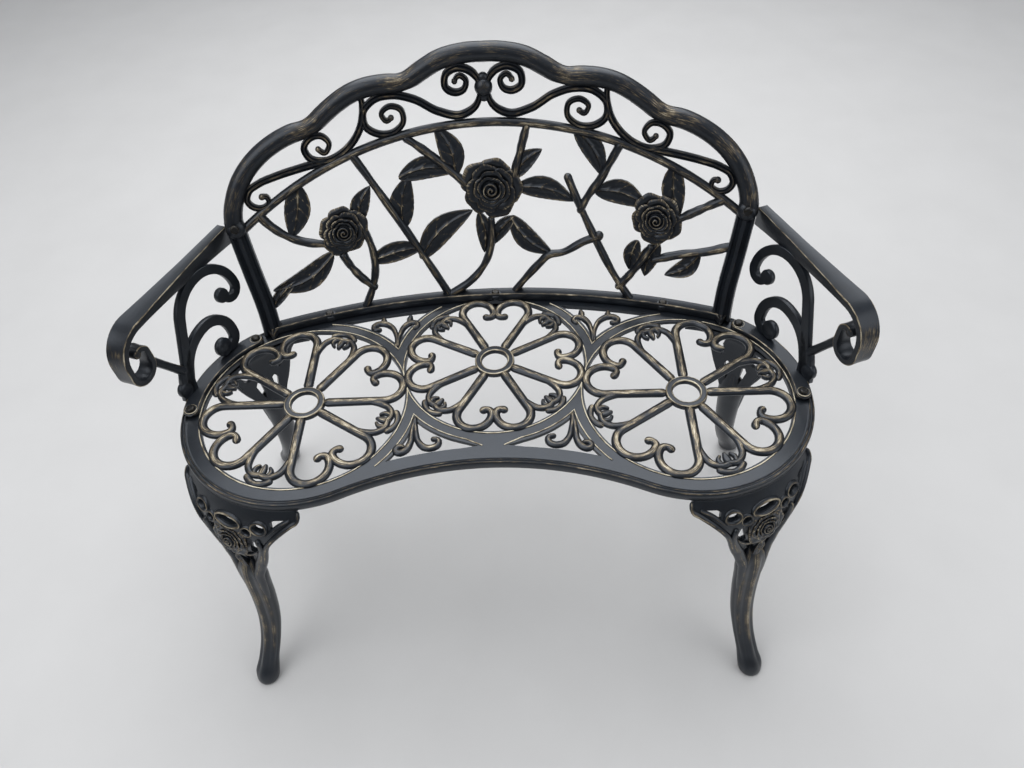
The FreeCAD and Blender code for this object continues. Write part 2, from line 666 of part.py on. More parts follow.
def leg_panel():
    """Bulged wall of the bracket: an arc profile turned round the hub of the lobe."""
    lines = []
    for wall in (1.0, 1.0 + LEG_WALL):
        knee = KNEE_REACH - wall
        lines.append((V(LOBE - wall, 0, RIM_BOTTOM), V(knee, 0, KNEE_HEIGHT), V(knee - 4.0, 0, LEG_LOW)))
    outer, inner = lines
    profile = Part.Face(Part.Wire([
        Part.Arc(*outer).toShape(),
        Part.LineSegment(outer[2], inner[2]).toShape(),
        Part.Arc(inner[2], inner[1], inner[0]).toShape(),
        Part.LineSegment(inner[0], outer[0]).toShape(),
    ]))
    profile.rotate(V(0, 0, 0), UP, -LEG_SPREAD)
    return profile.revolve(V(0, 0, 0), UP, 2 * LEG_SPREAD)


def leg_openings():
    """Drawing, across and up, of the cuts in the bracket's wall: sides below the braces, and piercings."""
    apron = RIM_BOTTOM - LEG_APRON
    ear = LOBE * math.sin(math.radians(LEG_SPREAD)) + 4.0
    brace = Part.Arc(V(19.0, LEG_LOW, 0), V(48.0, KNEE_HEIGHT - 15.0, 0), V(ear, apron - 8.0, 0)).toShape()
    corners = [brace.Vertexes[1].Point, V(2 * ear, apron - 8.0, 0), V(2 * ear, LEG_LOW - 8.0, 0),
               V(19.0, LEG_LOW - 8.0, 0), brace.Vertexes[0].Point]
    below = Part.Face(Part.Wire([brace] + Part.makePolygon(corners).Edges))
    gap = polygon([(50.0, apron), (79.0, apron), (53.0, apron - 20.0)])
    eye = disc(36.0, KNEE_HEIGHT + 7.0, LEG_HOLE)
    comma = disc(26.0, KNEE_HEIGHT - 20.0, LEG_HOLE * 0.7)
    slit = polygon([(8.0, 289.0), (15.0, 286.0), (11.0, 258.0)])
    loop = ribbon(bow((-16.0, apron - 2.0), (0.0, apron + 5.0), (16.0, apron - 2.0)), LEG_HOLE)
    return [loop] + both([below, gap, eye, comma, slit])


def leg_bracket():
    """Flange and pierced wall that wrap the lobe."""
    outer = LOBE - 1.0
    flange = disc(0, 0, outer).cut(disc(0, 0, outer - LEG_FLANGE_REACH)).extrude(UP * LEG_FLANGE)
    reach = 1.2 * outer / math.cos(math.radians(LEG_SPREAD))
    wedge = polygon([(0, 0), polar(reach, -LEG_SPREAD), polar(reach, LEG_SPREAD)]).extrude(UP * LEG_FLANGE)
    flange = moved(flange.common(wedge), 0, 0, RIM_BOTTOM - LEG_FLANGE)
    return one_solid([flange, leg_panel()])


def leg_casting(angle):
    """Right-hand leg at an angle round the side hub."""
    bloom = aimed(flower(KNEE_ROSE, WEB), V(KNEE_REACH - 3.0, 0, KNEE_HEIGHT), V(1, 0, 0))
    radial = FreeCAD.Placement(V(0, 0, 0), FreeCAD.Rotation(V(0, 1, 0), UP, V(1, 0, 0), "XYZ"))
    cuts = [face.extrude(UP * 2 * LOBE) for face in leg_openings()]
    for cut in cuts:
        cut.Placement = radial
    whole = one_solid([one_solid([leg_shank(), leg_bracket()]).cut(cuts), bloom])
    low = RIM_BOTTOM - 2 * LEG_FLANGE
    points = [polar(RIM_MID, side * LEG_BOLT_ANGLE) for side in (-1, 1)]
    holes = post_of(points, HOLE_RADIUS, low, RIM_BOTTOM + 1.0)
    whole = one_solid([whole.cut(holes)])
    whole.rotate(V(0, 0, 0), UP, angle)
    whole.translate(V(HUB_X, -HUB_FORWARD, 0))
    return whole


# Fasteners, made on the Z axis with the seat of the head at the origin and the shank below

def bolt(length):
    """Round-head bolt."""
    head = Part.makeCylinder(HEAD_DIAMETER / 2, HEAD_HEIGHT)
    crown = [edge for edge in head.Edges if edge.BoundBox.ZMin > HEAD_HEIGHT - 0.01]
    head = head.makeFillet(HEAD_ROUND, crown)
    return one_solid([head, Part.makeCylinder(BOLT / 2, length, V(0, 0, -length))])


def washer():
    """Flat washer whose top is at the origin."""
    ring = disc(0, 0, WASHER_DIAMETER / 2).cut(disc(0, 0, HOLE_RADIUS))
    return ring.extrude(UP * -WASHER_THICK)


def nut():
    """Hexagon nut whose top is at the origin."""
    corner = NUT_FLATS / math.sqrt(3)
    hexagon = polygon([polar(corner, 60.0 * k) for k in range(6)])
    return hexagon.cut(disc(0, 0, (BOLT + NUT_CLEARANCE) / 2)).extrude(UP * -NUT_HEIGHT)


def through_set(points, grip_top, grip_bottom):
    """Bolts, washers and nuts on plan points, through a grip between two heights."""
    length = grip_top - grip_bottom + WASHER_THICK + NUT_HEIGHT + BOLT_TAIL
    bolts = [moved(bolt(length), x, y, grip_top) for x, y in points]
    washers = [moved(washer(), x, y, grip_bottom) for x, y in points]
    nuts = [moved(nut(), x, y, grip_bottom - WASHER_THICK) for x, y in points]
    return bolts, washers, nuts


def post_set():
    """Right-hand arm bolt with its washer and nut behind the lug."""
    place, way = arm_bolt_axis()
    front = place + way * (POST_BOSS / 2)
    rear = place - way * (POST_BOSS / 2 + ARM_SCROLL_PLATE)
    length = POST_BOSS + ARM_SCROLL_PLATE + WASHER_THICK + NUT_HEIGHT + BOLT_TAIL
    hold = aimed(nut(), rear - way * WASHER_THICK, way)
    return aimed(bolt(length), front, way), aimed(washer(), rear, way), hold


def leg_screws():
    """Screws and washers that hold the right-hand legs up to the rim."""
    points = []
    for angle in LEG_ANGLES:
        points += leg_bolt_points(angle)
    seat = RIM_BOTTOM - LEG_FLANGE
    length = LEG_FLANGE + WASHER_THICK + SCREW_DEPTH - SCREW_TIP_GAP
    screws = [aimed(bolt(length), V(x, y, seat - WASHER_THICK), -UP) for x, y in points]
    washers = [moved(washer(), x, y, seat) for x, y in points]
    return screws, washers


def build():
    """All nodes of the bench by name, before centring."""
    arm = arm_casting()
    nodes = {"seat_casting": seat_casting(), "back_casting": back_casting()}
    nodes["right_arm_casting"] = arm
    nodes["left_arm_casting"] = mirrored(arm)
    for place, angle in zip(("front", "rear"), LEG_ANGLES):
        leg = leg_casting(angle)
        nodes["right_%s_leg_casting" % place] = leg
        nodes["left_%s_leg_casting" % place] = mirrored(leg)
    rail = through_set(rail_bolt_points(), SEAT_HEIGHT + RAIL_FLANGE, RIM_BOTTOM)
    arm_front, arm_rear = arm_bolt_points()
    arms = through_set([arm_front], SEAT_HEIGHT + ARM_FLANGE, RIM_BOTTOM)
    short = bolt(ARM_FLANGE + SCREW_DEPTH - SCREW_TIP_GAP)
    arms[0].append(moved(short, *arm_rear, SEAT_HEIGHT + ARM_FLANGE))
    post = post_set()
    for kind, rail_set, arm_set, post_piece in zip(("bolts", "washers", "nuts"), rail, arms, post):
        nodes["back_rail_" + kind] = Part.makeCompound(rail_set)
        nodes["right_arm_seat_" + kind] = Part.makeCompound(arm_set)
        nodes["left_arm_seat_" + kind] = Part.makeCompound([mirrored(piece) for piece in arm_set])
        nodes["arm_post_" + kind] = Part.makeCompound(both([post_piece]))
    for kind, pieces in zip(("screws", "washers"), leg_screws()):
        nodes["leg_" + kind] = Part.makeCompound(both(pieces))
    return nodes


def main():
    nodes = build()
    box = Part.makeCompound(list(nodes.values())).optimalBoundingBox()
    centre = -(box.YMin + box.YMax) / 2
    os.makedirs("parts", exist_ok=True)
    for name, shape in nodes.items():
        moved(shape, 0, centre, 0).exportStep("parts/%s.step" % name)
        print(name, len(shape.Solids), shape.isValid(), round(shape.Volume / 1000, 1))
    sizes = [round(side, 1) for side in (box.XLength, box.YLength, box.ZLength)]
    print("size", *sizes, "shift", round(centre, 2))


main()
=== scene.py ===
"""Dressed model of a cast aluminium garden bench: tracery seat, rose back, scroll arms, cabriole legs."""
import logging
import math
from dataclasses import dataclass
from enum import Enum
from typing import Any, Callable, Optional, Sequence, Union

import bmesh
import bpy
import numpy as np
from mathutils import Matrix, Vector
from mathutils.geometry import delaunay_2d_cdt


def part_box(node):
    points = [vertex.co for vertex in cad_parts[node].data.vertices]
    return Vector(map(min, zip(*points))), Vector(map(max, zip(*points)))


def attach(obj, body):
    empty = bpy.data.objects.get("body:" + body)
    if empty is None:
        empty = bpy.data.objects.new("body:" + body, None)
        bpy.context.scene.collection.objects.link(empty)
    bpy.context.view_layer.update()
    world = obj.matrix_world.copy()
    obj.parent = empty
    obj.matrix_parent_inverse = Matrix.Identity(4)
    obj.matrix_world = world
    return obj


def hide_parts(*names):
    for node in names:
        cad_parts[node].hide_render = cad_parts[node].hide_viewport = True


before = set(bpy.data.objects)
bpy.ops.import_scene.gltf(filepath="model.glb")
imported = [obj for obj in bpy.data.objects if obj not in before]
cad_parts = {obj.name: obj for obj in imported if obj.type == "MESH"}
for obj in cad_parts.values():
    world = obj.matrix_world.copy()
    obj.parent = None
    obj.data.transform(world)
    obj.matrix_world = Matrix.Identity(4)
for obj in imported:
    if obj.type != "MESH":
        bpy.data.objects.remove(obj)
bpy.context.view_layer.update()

LOG = logging.getLogger("bench")
MM = 0.001
Array = np.ndarray
Place = Callable[[Array], Array]
Varying = Union[float, Array]
Knots = Sequence[tuple[float, float]]
Steps = Sequence[tuple[float, float]]
Moulding = Sequence[tuple[float, float, float]]
UP = np.array([0.0, 0.0, 1.0])

# Fineness of drawn lines: distances in millimetres, and the turn of an arc in degrees
DRAWN_GAP = 5.0
ARC_GAP = 6.0
ARC_TURN = 8.0
# Angles, in degrees, of the rings that round off a bar's open end
TIP_ANGLES = (78.0, 52.0, 26.0)
# Shift of the brush strokes for each point cast before, so that no two bars are streaked alike
STROKE_SHIFT = 0.173
# Angle, in degrees, past which an edge between two faces shows sharp
SHARP_ANGLE = 50.0


def linear(colour: str) -> tuple[float, float, float, float]:
    """Turn an sRGB hex colour into linear light.

    Args:
        colour: Six hex digits after a hash sign.

    Returns:
        Linear red, green, blue and an alpha of one.
    """
    parts = [int(colour[i:i + 2], 16) / 255 for i in (1, 3, 5)]
    red, green, blue = [c / 12.92 if c <= 0.04045 else ((c + 0.055) / 1.055) ** 2.4 for c in parts]
    return red, green, blue, 1.0


# Flat drawing: every bar is drawn in two dimensions, in millimetres

def trail(x: float, y: float, heading: float, steps: Steps) -> Array:
    """Draw a line of straights and tangent arcs.

    Args:
        x: Start across.
        y: Start along.
        heading: Start direction in degrees.
        steps: Pairs of length and 0 for a straight, or radius and turn in degrees for an arc.

    Returns:
        Points along the line.
    """
    points = [(x, y)]
    angle = math.radians(heading)
    for size, turn in steps:
        if turn == 0:
            count = max(2, int(size / DRAWN_GAP))
            for k in range(1, count + 1):
                step = size * k / count
                points.append((x + math.cos(angle) * step, y + math.sin(angle) * step))
        else:
            side = math.copysign(1.0, turn)
            cx, cy = x - math.sin(angle) * side * size, y + math.cos(angle) * side * size
            swing = math.radians(turn)
            count = max(3, int(abs(turn) / ARC_TURN), int(abs(swing) * size / ARC_GAP))
            for k in range(1, count + 1):
                bend = angle + swing * k / count
                points.append((cx + math.sin(bend) * side * size, cy - math.cos(bend) * side * size))
            angle += swing
        x, y = points[-1]
    return np.array(points)


def curve(knots: Sequence[Sequence[float]], gap: float) -> Array:
    """Draw a smooth line through knots.

    Args:
        knots: Points that the line passes, of any number of dimensions.
        gap: Wanted distance between drawn points.

    Returns:
        Points along the line.
    """
    k = np.asarray(knots, float)
    run = np.concatenate([[0.0], np.cumsum(np.linalg.norm(np.diff(k, axis=0), axis=1))])
    slope = np.gradient(k, run, axis=0, edge_order=2 if len(k) > 2 else 1)
    t = np.linspace(0, run[-1], max(4, int(run[-1] / gap) + 1))
    i = np.clip(np.searchsorted(run, t, side="right") - 1, 0, len(k) - 2)
    span = (run[i + 1] - run[i])[:, None]
    u = ((t - run[i])[:, None]) / span
    a, b, ma, mb = k[i], k[i + 1], slope[i] * span, slope[i + 1] * span
    return ((2 * u ** 3 - 3 * u ** 2 + 1) * a + (u ** 3 - 2 * u ** 2 + u) * ma
            + (3 * u ** 2 - 2 * u ** 3) * b + (u ** 3 - u ** 2) * mb)


def turns(count: int) -> Array:
    """Even angles once round, in radians."""
    return np.linspace(0, 2 * math.pi, count, endpoint=False)


def oval(x: float, y: float, half: float, rise: float, count: int) -> Array:
    """Draw an oval anticlockwise as a closed line of points."""
    angle = turns(count)
    return np.stack([x + half * np.cos(angle), y + rise * np.sin(angle)], 1)


def circle(x: float, y: float, radius: float, count: int) -> Array:
    """Draw a circle anticlockwise as a closed line of points."""
    return oval(x, y, radius, radius, count)


def polar(radius: float, degrees: float) -> tuple[float, float]:
    """Plan point at a radius and an angle."""
    return radius * math.cos(math.radians(degrees)), radius * math.sin(math.radians(degrees))


def turned(points: Array, degrees: float, x: float, y: float) -> Array:
    """Turn a flat drawing about its origin, then move it."""
    c, s = math.cos(math.radians(degrees)), math.sin(math.radians(degrees))
    return points @ np.array([[c, s], [-s, c]]) + np.array([x, y])


def flipped(points: Array, axis: int = 0) -> Array:
    """Mirror a flat drawing by changing the sign of one axis."""
    return points * np.where(np.arange(points.shape[1]) == axis, -1.0, 1.0)


def headings(path: Array, closed: bool = False) -> Array:
    """Unit direction of a line at each of its points.

    Args:
        path: Flat line.
        closed: Whether the line is a loop.

    Returns:
        A direction for each point.
    """
    way = np.roll(path, -1, 0) - np.roll(path, 1, 0) if closed else np.gradient(path, axis=0)
    return way / np.maximum(np.linalg.norm(way, axis=1, keepdims=True), 1e-9)


def leftward(way: Array) -> Array:
    """Turn flat directions a quarter to the left."""
    return np.stack([-way[:, 1], way[:, 0]], 1)


def taper(path: Array, sizes: Sequence[float], shares: Optional[Sequence[float]] = None) -> Array:
    """Spread sizes along a line.

    Args:
        path: Line of points.
        sizes: Sizes to pass through.
        shares: Where they stand, from 0 to 1 along the line; evenly spread if left out.

    Returns:
        A size for each point.
    """
    stands = np.linspace(0, 1, len(sizes)) if shares is None else shares
    return np.interp(np.linspace(0, 1, len(path)), stands, sizes)


def inside(point: Array, loop: Array) -> bool:
    """Tell whether a flat point lies inside a closed line.

    Args:
        point: Flat point.
        loop: Closed line.

    Returns:
        True for a point inside.
    """
    ahead = np.roll(loop, -1, 0)
    crosses = (loop[:, 1] > point[1]) != (ahead[:, 1] > point[1])
    rise = np.where(crosses, ahead[:, 1] - loop[:, 1], 1.0)
    reach = loop[:, 0] + (point[1] - loop[:, 1]) / rise * (ahead[:, 0] - loop[:, 0])
    return bool(np.count_nonzero(crosses & (reach > point[0])) % 2)


def meet(first: Sequence[float], radius: float, second: Sequence[float], other: float, side: float) -> Array:
    """Find where two circles cross.

    Args:
        first: Centre of the first circle.
        radius: Its radius.
        second: Centre of the second circle.
        other: Its radius.
        side: 1 for the crossing to the left of the line from first to second, -1 for the right.

    Returns:
        The crossing point.
    """
    a, b = np.array(first, float), np.array(second, float)
    gap = float(np.linalg.norm(b - a))
    along = (b - a) / gap
    run = (radius ** 2 - other ** 2 + gap ** 2) / (2 * gap)
    off = math.sqrt(max(radius ** 2 - run ** 2, 0.0))
    return a + along * run + side * off * np.array([-along[1], along[0]])


def arc(centre: Sequence[float], start: Array, end: Array) -> Array:
    """Draw the shorter arc between two points of a circle, without its end point.

    Args:
        centre: Centre of the circle.
        start: First point.
        end: Last point.

    Returns:
        Points along the arc.
    """
    a, b = start - np.array(centre), end - np.array(centre)
    radius = float(np.linalg.norm(a))
    first = math.atan2(a[1], a[0])
    turn = (math.atan2(b[1], b[0]) - first + math.pi) % (2 * math.pi) - math.pi
    t = first + turn * np.linspace(0, 1, max(3, int(abs(turn) * radius / DRAWN_GAP)), endpoint=False)
    return np.array(centre) + radius * np.column_stack([np.cos(t), np.sin(t)])


def bump(distance: Array, width: float) -> Array:
    """Smooth bell of height one."""
    return np.exp(-(distance / width) ** 2)


def as_drawn(points: Array) -> Array:
    """Leave points where they are, for a piece that is drawn in the bench's own space."""
    return points


class Section(Enum):
    """Cross-sections of cast bars: across and up from -1 to 1, and how much gold the point takes."""

    ROUND = tuple((math.cos(a), math.sin(a), max(0.0, math.sin(a)) ** 4)
                  for a in np.linspace(-math.pi / 2, 1.5 * math.pi, 18, endpoint=False))
    PIPE = tuple((math.cos(a), math.sin(a), 0.62 + 0.38 * math.sin(a + 0.5))
                 for a in np.linspace(-math.pi / 2, 1.5 * math.pi, 20, endpoint=False))
    FLAT = ((1.0, -0.85, 0.0), (1.0, 0.7, 0.2), (0.97, 0.9, 1.0), (0.9, 1.0, 0.9), (0.78, 1.0, 0.0),
            (0.0, 1.0, 0.0), (-0.78, 1.0, 0.0), (-0.9, 1.0, 0.9), (-0.97, 0.9, 1.0), (-1.0, 0.7, 0.2),
            (-1.0, -0.85, 0.0), (-0.93, -1.0, 0.1), (0.93, -1.0, 0.1))
    REEDED = ((1.0, -0.5, 0.1), (1.0, 0.3, 0.5), (0.92, 0.72, 0.9), (0.72, 0.78, 0.6), (0.52, 0.5, 0.0),
              (0.36, 0.62, 0.3), (0.2, 0.95, 0.9), (-0.2, 0.95, 0.9), (-0.36, 0.62, 0.3), (-0.52, 0.5, 0.0),
              (-0.72, 0.78, 0.6), (-0.92, 0.72, 0.9), (-1.0, 0.3, 0.5), (-1.0, -0.5, 0.1), (-0.85, -1.0, 0.1),
              (0.85, -1.0, 0.1))


@dataclass(frozen=True)
class Strand:
    """A drawn bar: its knots, its widths, where they stand along it, its rise and its gold."""

    knots: Knots
    widths: Sequence[float]
    shares: Optional[Sequence[float]] = None
    high: float = 4.0
    gold: float = 0.5
    gap: float = 3.0


@dataclass(frozen=True)
class LeafShape:
    """Relief of a rose leaf.

    Heights, the tip's half width and the rib's width are in millimetres. The stalk, the teeth, and the rim's
    place and width are shares of the half width, and gold is a share of the leaf's own.
    """

    stalk: float = 0.10
    tip: float = 0.4
    teeth: float = 8.0
    tooth: float = 0.03
    dome: float = 3.0
    bowl: float = 2.0
    rib: float = 2.0
    rib_width: float = 1.5
    veins: float = 5.0
    vein: float = 1.4
    rim: float = 0.5
    rim_place: float = 0.93
    rim_width: float = 0.14
    thickness: float = 3.4
    belly: float = 1.0
    face_gold: float = 0.12
    rib_gold: float = 0.85
    vein_gold: float = 0.75
    rim_gold: float = 0.6
    back_gold: float = 0.1


LEAF = LeafShape()


@dataclass(frozen=True)
class PetalRing:
    """One ring of a rose's petals: radii are shares of the rose's radius, heights shares of its rise."""

    count: int
    spread: float
    foot: float
    lip: float
    low: float
    high: float
    curl: float
    start: float


# Circles of a button with softened edges: shares of its radius, half thickness and gold
BUTTON_SHAPE = ((0.25, 1.0, 0.0), (0.78, 1.0, 0.0), (0.9, 0.94, 0.8), (1.0, 0.6, 0.6), (1.0, -0.6, 0.2),
                (0.9, -0.94, 0.3), (0.25, -1.0, 0.0))
# A petal's thickness, how far its back stands in from its lip, and the height of its ruffles, in millimetres
PETAL_THICKNESS = 2.6
PETAL_INSET = 0.7
PETAL_RUFFLE = 0.9
# How far a rod narrows at its middle, as a share of its radius, and the gold along its top
ROD_WAIST = 0.14
ROD_GOLD = 0.3
ROSE_RINGS = (PetalRing(5, 50, 0.40, 1.00, 0.00, 0.42, 0.60, 0.0),
              PetalRing(5, 48, 0.32, 0.80, 0.10, 0.64, 0.30, 36.0),
              PetalRing(4, 60, 0.26, 0.60, 0.22, 0.82, 0.16, 8.0),
              PetalRing(3, 80, 0.20, 0.45, 0.34, 0.96, 0.08, 60.0))


class Casting:
    """One casting's mesh, gathered bar by bar in millimetres, with the gold each point takes."""

    def __init__(self, name: str) -> None:
        """Start an empty casting.

        Args:
            name: Name of the object and its mesh.
        """
        self.name = name
        self.points: list[Array] = []
        self.gold: list[Array] = []
        self.brush: list[Array] = []
        self.faces: list[tuple[int, ...]] = []
        self.count = 0

    def loft(self, rings: Array, gold: Array, place: Place, closed: bool = False,
             stroke: float = 1.0) -> None:
        """Skin a stack of closed rings.

        Args:
            rings: Rings by points by three, in the flat space of place.
            gold: Rings by points, from 0 to 1.
            place: Map from flat space to the bench.
            closed: Whether the last ring joins the first.
            stroke: Length of the brush strokes, as a multiple of the usual one.
        """
        n, m = rings.shape[:2]
        base = self.count
        points = place(rings.reshape(-1, 3))
        solid = points.reshape(n, m, 3)
        steps = np.linalg.norm(np.diff(solid.mean(1), axis=0), axis=1)
        girth = np.linalg.norm(np.diff(solid, axis=1), axis=2).mean(0)
        along = np.concatenate([[0.0], np.cumsum(steps)]) / stroke + STROKE_SHIFT * base
        around = np.concatenate([[0.0], np.cumsum(girth)])
        self.points.append(points)
        self.gold.append(np.clip(gold, 0, 1).reshape(-1))
        self.brush.append(np.column_stack([np.repeat(along, m), np.tile(around, n), np.zeros(n * m)]))
        self.count += n * m
        for i in range(n if closed else n - 1):
            a, b = base + i * m, base + ((i + 1) % n) * m
            for j in range(m):
                k = (j + 1) % m
                self.faces.append((a + j, a + k, b + k, b + j))
        if not closed:
            self.faces.append(tuple(range(base, base + m))[::-1])
            self.faces.append(tuple(range(base + (n - 1) * m, base + n * m)))

    def bar(self, path: Array, width: Varying, high: Varying, low: Varying, place: Place, section: Section,
            gold: Varying, level: Varying = 0.0, closed: bool = False, tips: bool = True) -> None:
        """Cast a bar along a flat line.

        Args:
            path: Line in flat space.
            width: Width of the bar, one or per point.
            high: Rise of the face above the level.
            low: Depth of the back below the level.
            place: Map from flat space to the bench.
            section: Cross-section.
            gold: Gold on the crest, one or per point.
            level: Height of the bar's middle in flat space.
            closed: Whether the line is a loop.
            tips: Whether open ends are rounded.
        """
        n = len(path)
        w, h, d, g, z = [np.broadcast_to(np.asarray(v, float), (n,)) for v in (width, high, low, gold, level)]
        way = headings(path, closed)
        if tips and not closed:
            swell = np.radians(TIP_ANGLES)
            more = len(swell)
            first = [path[0] - way[0] * w[0] / 2 * math.sin(a) for a in swell]
            last = [path[-1] + way[-1] * w[-1] / 2 * math.sin(a) for a in swell[::-1]]
            path = np.concatenate([first, path, last])
            way = np.concatenate([np.repeat(way[:1], more, 0), way, np.repeat(way[-1:], more, 0)])
            shrink = np.concatenate([np.cos(swell), np.ones(n), np.cos(swell[::-1])])
            w, h, d, g, z = [np.pad(v, more, mode="edge") for v in (w, h, d, g, z)]
            w, h, d = w * shrink, h * shrink, d * shrink
        shape = np.array(section.value)
        across = shape[None, :, 0] * w[:, None] / 2
        up = shape[None, :, 1] * np.where(shape[None, :, 1] > 0, h[:, None], d[:, None])
        flat = path[:, None, :] + leftward(way)[:, None, :] * across[..., None]
        rings = np.concatenate([flat, (up + z[:, None])[..., None]], 2)
        self.loft(rings, shape[None, :, 2] * g[:, None], place, closed)

    def band(self, path: Array, shape: Moulding, place: Place, closed: bool = True) -> None:
        """Run a moulding of fixed shape along a line.

        Args:
            path: Line in flat space, anticlockwise if closed.
            shape: Corners of the moulding: inset to the left of the line, height, and gold.
            place: Map from flat space to the bench.
            closed: Whether the line is a loop.
        """
        corners = np.array(shape)
        side = leftward(headings(path, closed))
        flat = path[:, None, :] + side[:, None, :] * corners[None, :, 0, None]
        up = np.broadcast_to(corners[None, :, 1, None], flat.shape[:2] + (1,))
        gold = np.broadcast_to(corners[None, :, 2], flat.shape[:2])
        self.loft(np.concatenate([flat, up], 2), gold, place, closed)

    def plate(self, loops: Sequence[Array], top: float, bottom: float, place: Place,
              fill: float = 0.0) -> None:
        """Cast a plate with openings.

        Args:
            loops: Outline of the plate, then of each opening, as closed lines.
            top: Height of the face.
            bottom: Height of the back.
            place: Map from flat space to the bench.
            fill: Spacing of extra points inside, for a plate that place bends; 0 for none.
        """
        corners = np.concatenate(loops)
        if fill:
            columns, rows = [np.arange(corners[:, k].min(), corners[:, k].max(), fill) for k in (0, 1)]
            grid = [np.array([x, y]) for x in columns for y in rows]
            clear = [g for g in grid if inside(g, loops[0]) and not any(inside(g, loop) for loop in loops[1:])
                     and np.linalg.norm(corners - g, axis=1).min() > fill * 0.45]
            corners = np.concatenate([corners, clear])
        edges: list[tuple[int, int]] = []
        start = 0
        for loop in loops:
            ring = list(range(start, start + len(loop)))
            edges += list(zip(ring, ring[1:] + ring[:1]))
            start += len(loop)
        spots, _, tiles, *_ = delaunay_2d_cdt([Vector(c) for c in corners], edges, [], 1, 1e-6)
        spots = np.array([tuple(s) for s in spots])
        kept = [t for t in tiles if not any(inside(spots[list(t)].mean(0), loop) for loop in loops[1:])]
        count = len(spots)
        flat = np.concatenate([np.column_stack([spots, np.full(count, z)]) for z in (top, bottom)])
        sides: dict[tuple[int, int], int] = {}
        for tile in kept:
            for a, b in zip(tile, tile[1:] + tile[:1]):
                sides[(a, b)] = sides.get((a, b), 0) + 1
        walls = [(b, a) for a, b in sides if (b, a) not in sides]
        base = self.count
        self.points.append(place(flat))
        self.gold.append(np.zeros(2 * count))
        self.brush.append(flat)
        self.count += 2 * count
        self.faces += [tuple(base + i for i in tile) for tile in kept]
        self.faces += [tuple(base + count + i for i in tile[::-1]) for tile in kept]
        self.faces += [(base + a, base + b, base + count + b, base + count + a) for a, b in walls]

    def spool(self, x: float, y: float, shape: Union[Moulding, Array], sides: int, place: Place) -> None:
        """Cast a round piece from a stack of circles.

        Args:
            x: Centre across.
            y: Centre along.
            shape: Radius, height and gold of each circle.
            sides: Number of points of a circle.
            place: Map from flat space to the bench.
        """
        rings, gold = [], []
        for radius, up, tone in shape:
            rings.append(np.column_stack([circle(x, y, radius, sides), np.full(sides, up)]))
            gold.append(np.full(sides, tone))
        self.loft(np.array(rings), np.array(gold), place)

    def rod(self, first: Array, last: Array, radius: float) -> None:
        """Cast a waisted round rod between two points of the bench.

        Args:
            first: Start.
            last: End.
            radius: Radius at the ends.
        """
        length = np.linalg.norm(last - first)
        way = (last - first) / length
        side = np.cross(way, UP)
        side /= np.linalg.norm(side)
        turn = turns(14)[None, :, None]
        steps = np.linspace(0, length, 8)[:, None, None]
        girth = radius * (1 - ROD_WAIST * np.sin(np.pi * steps / length))
        rings = first + way * steps + girth * (np.cos(turn) * side + np.sin(turn) * np.cross(side, way))
        gold = np.broadcast_to(np.clip(np.sin(turn[..., 0]), 0, 1) * ROD_GOLD, rings.shape[:2])
        self.loft(rings, gold, as_drawn)

    def button(self, x: float, y: float, radius: float, half: float, place: Place, gold: float) -> None:
        """Cast a flat round button with softened edges.

        Args:
            x: Centre across.
            y: Centre along.
            radius: Radius of the button.
            half: Half of its thickness.
            place: Map from flat space to the bench.
            gold: Gold on the edges.
        """
        self.spool(x, y, np.array(BUTTON_SHAPE) * (radius, half, gold), 36, place)

    def ball(self, x: float, y: float, z: float, radius: float, place: Place, gold: float,
             squash: float = 1.0) -> None:
        """Cast a ball or button.

        Args:
            x: Centre across.
            y: Centre along.
            z: Centre height.
            radius: Radius in the flat drawing.
            place: Map from flat space to the bench.
            gold: Gold on the crown.
            squash: Height of the ball as a share of its radius.
        """
        a = np.linspace(-math.pi / 2, math.pi / 2, 12)[1:-1]
        up = np.sin(a)
        shape = np.column_stack([radius * np.cos(a), z + radius * squash * up, gold * np.clip(up, 0, 1)])
        self.spool(x, y, shape, 20, place)

    def leaf(self, base: Sequence[float], tip: Sequence[float], width: float, place: Place, lift: float,
             bend: float, gold: float) -> None:
        """Cast a pointed rose leaf with a raised midrib, side veins and toothed edges.

        Args:
            base: Stalk end in flat space.
            tip: Point of the leaf.
            width: Widest width.
            place: Map from flat space to the bench.
            lift: Height of the leaf's middle.
            bend: Sideways bow of the midrib as a share of the length.
            gold: Gold on ribs and edges.
        """
        start, end = np.array(base, float), np.array(tip, float)
        along = end - start
        length = float(np.linalg.norm(along))
        along /= length
        side = np.array([-along[1], along[0]])
        u = np.linspace(0.0, 1.0, 34)
        v = np.linspace(-1.0, 1.0, 21)
        body = np.sin(np.pi * u ** 0.86) ** 0.8
        half = width / 2 * (LEAF.stalk * (1 - u) + body) + LEAF.tip
        teeth = 1 + LEAF.tooth * (0.5 - np.mod(u * LEAF.teeth, 1.0)) * body
        middle = start + along * length * u[:, None] + side * (bend * length * np.sin(np.pi * u))[:, None]
        reach = (half * teeth)[:, None] * v[None, :]
        flat = middle[:, None, :] + side * reach[..., None]
        rib = bump(reach, LEAF.rib_width) * (1 - u[:, None] * 0.6)
        veins = np.clip(np.cos(2 * np.pi * (LEAF.veins * u[:, None] - np.abs(v[None, :]))), 0, 1) ** 6
        veins = veins * (1 - np.abs(v[None, :])) ** 0.3 * body[:, None]
        edge = np.tile(bump(np.abs(v) - LEAF.rim_place, LEAF.rim_width), (len(u), 1))
        bowl = (1 - np.abs(2 * np.abs(v[None, :]) - 1.0) ** 2) * body[:, None]
        up = lift + LEAF.dome * body[:, None] - LEAF.bowl * bowl
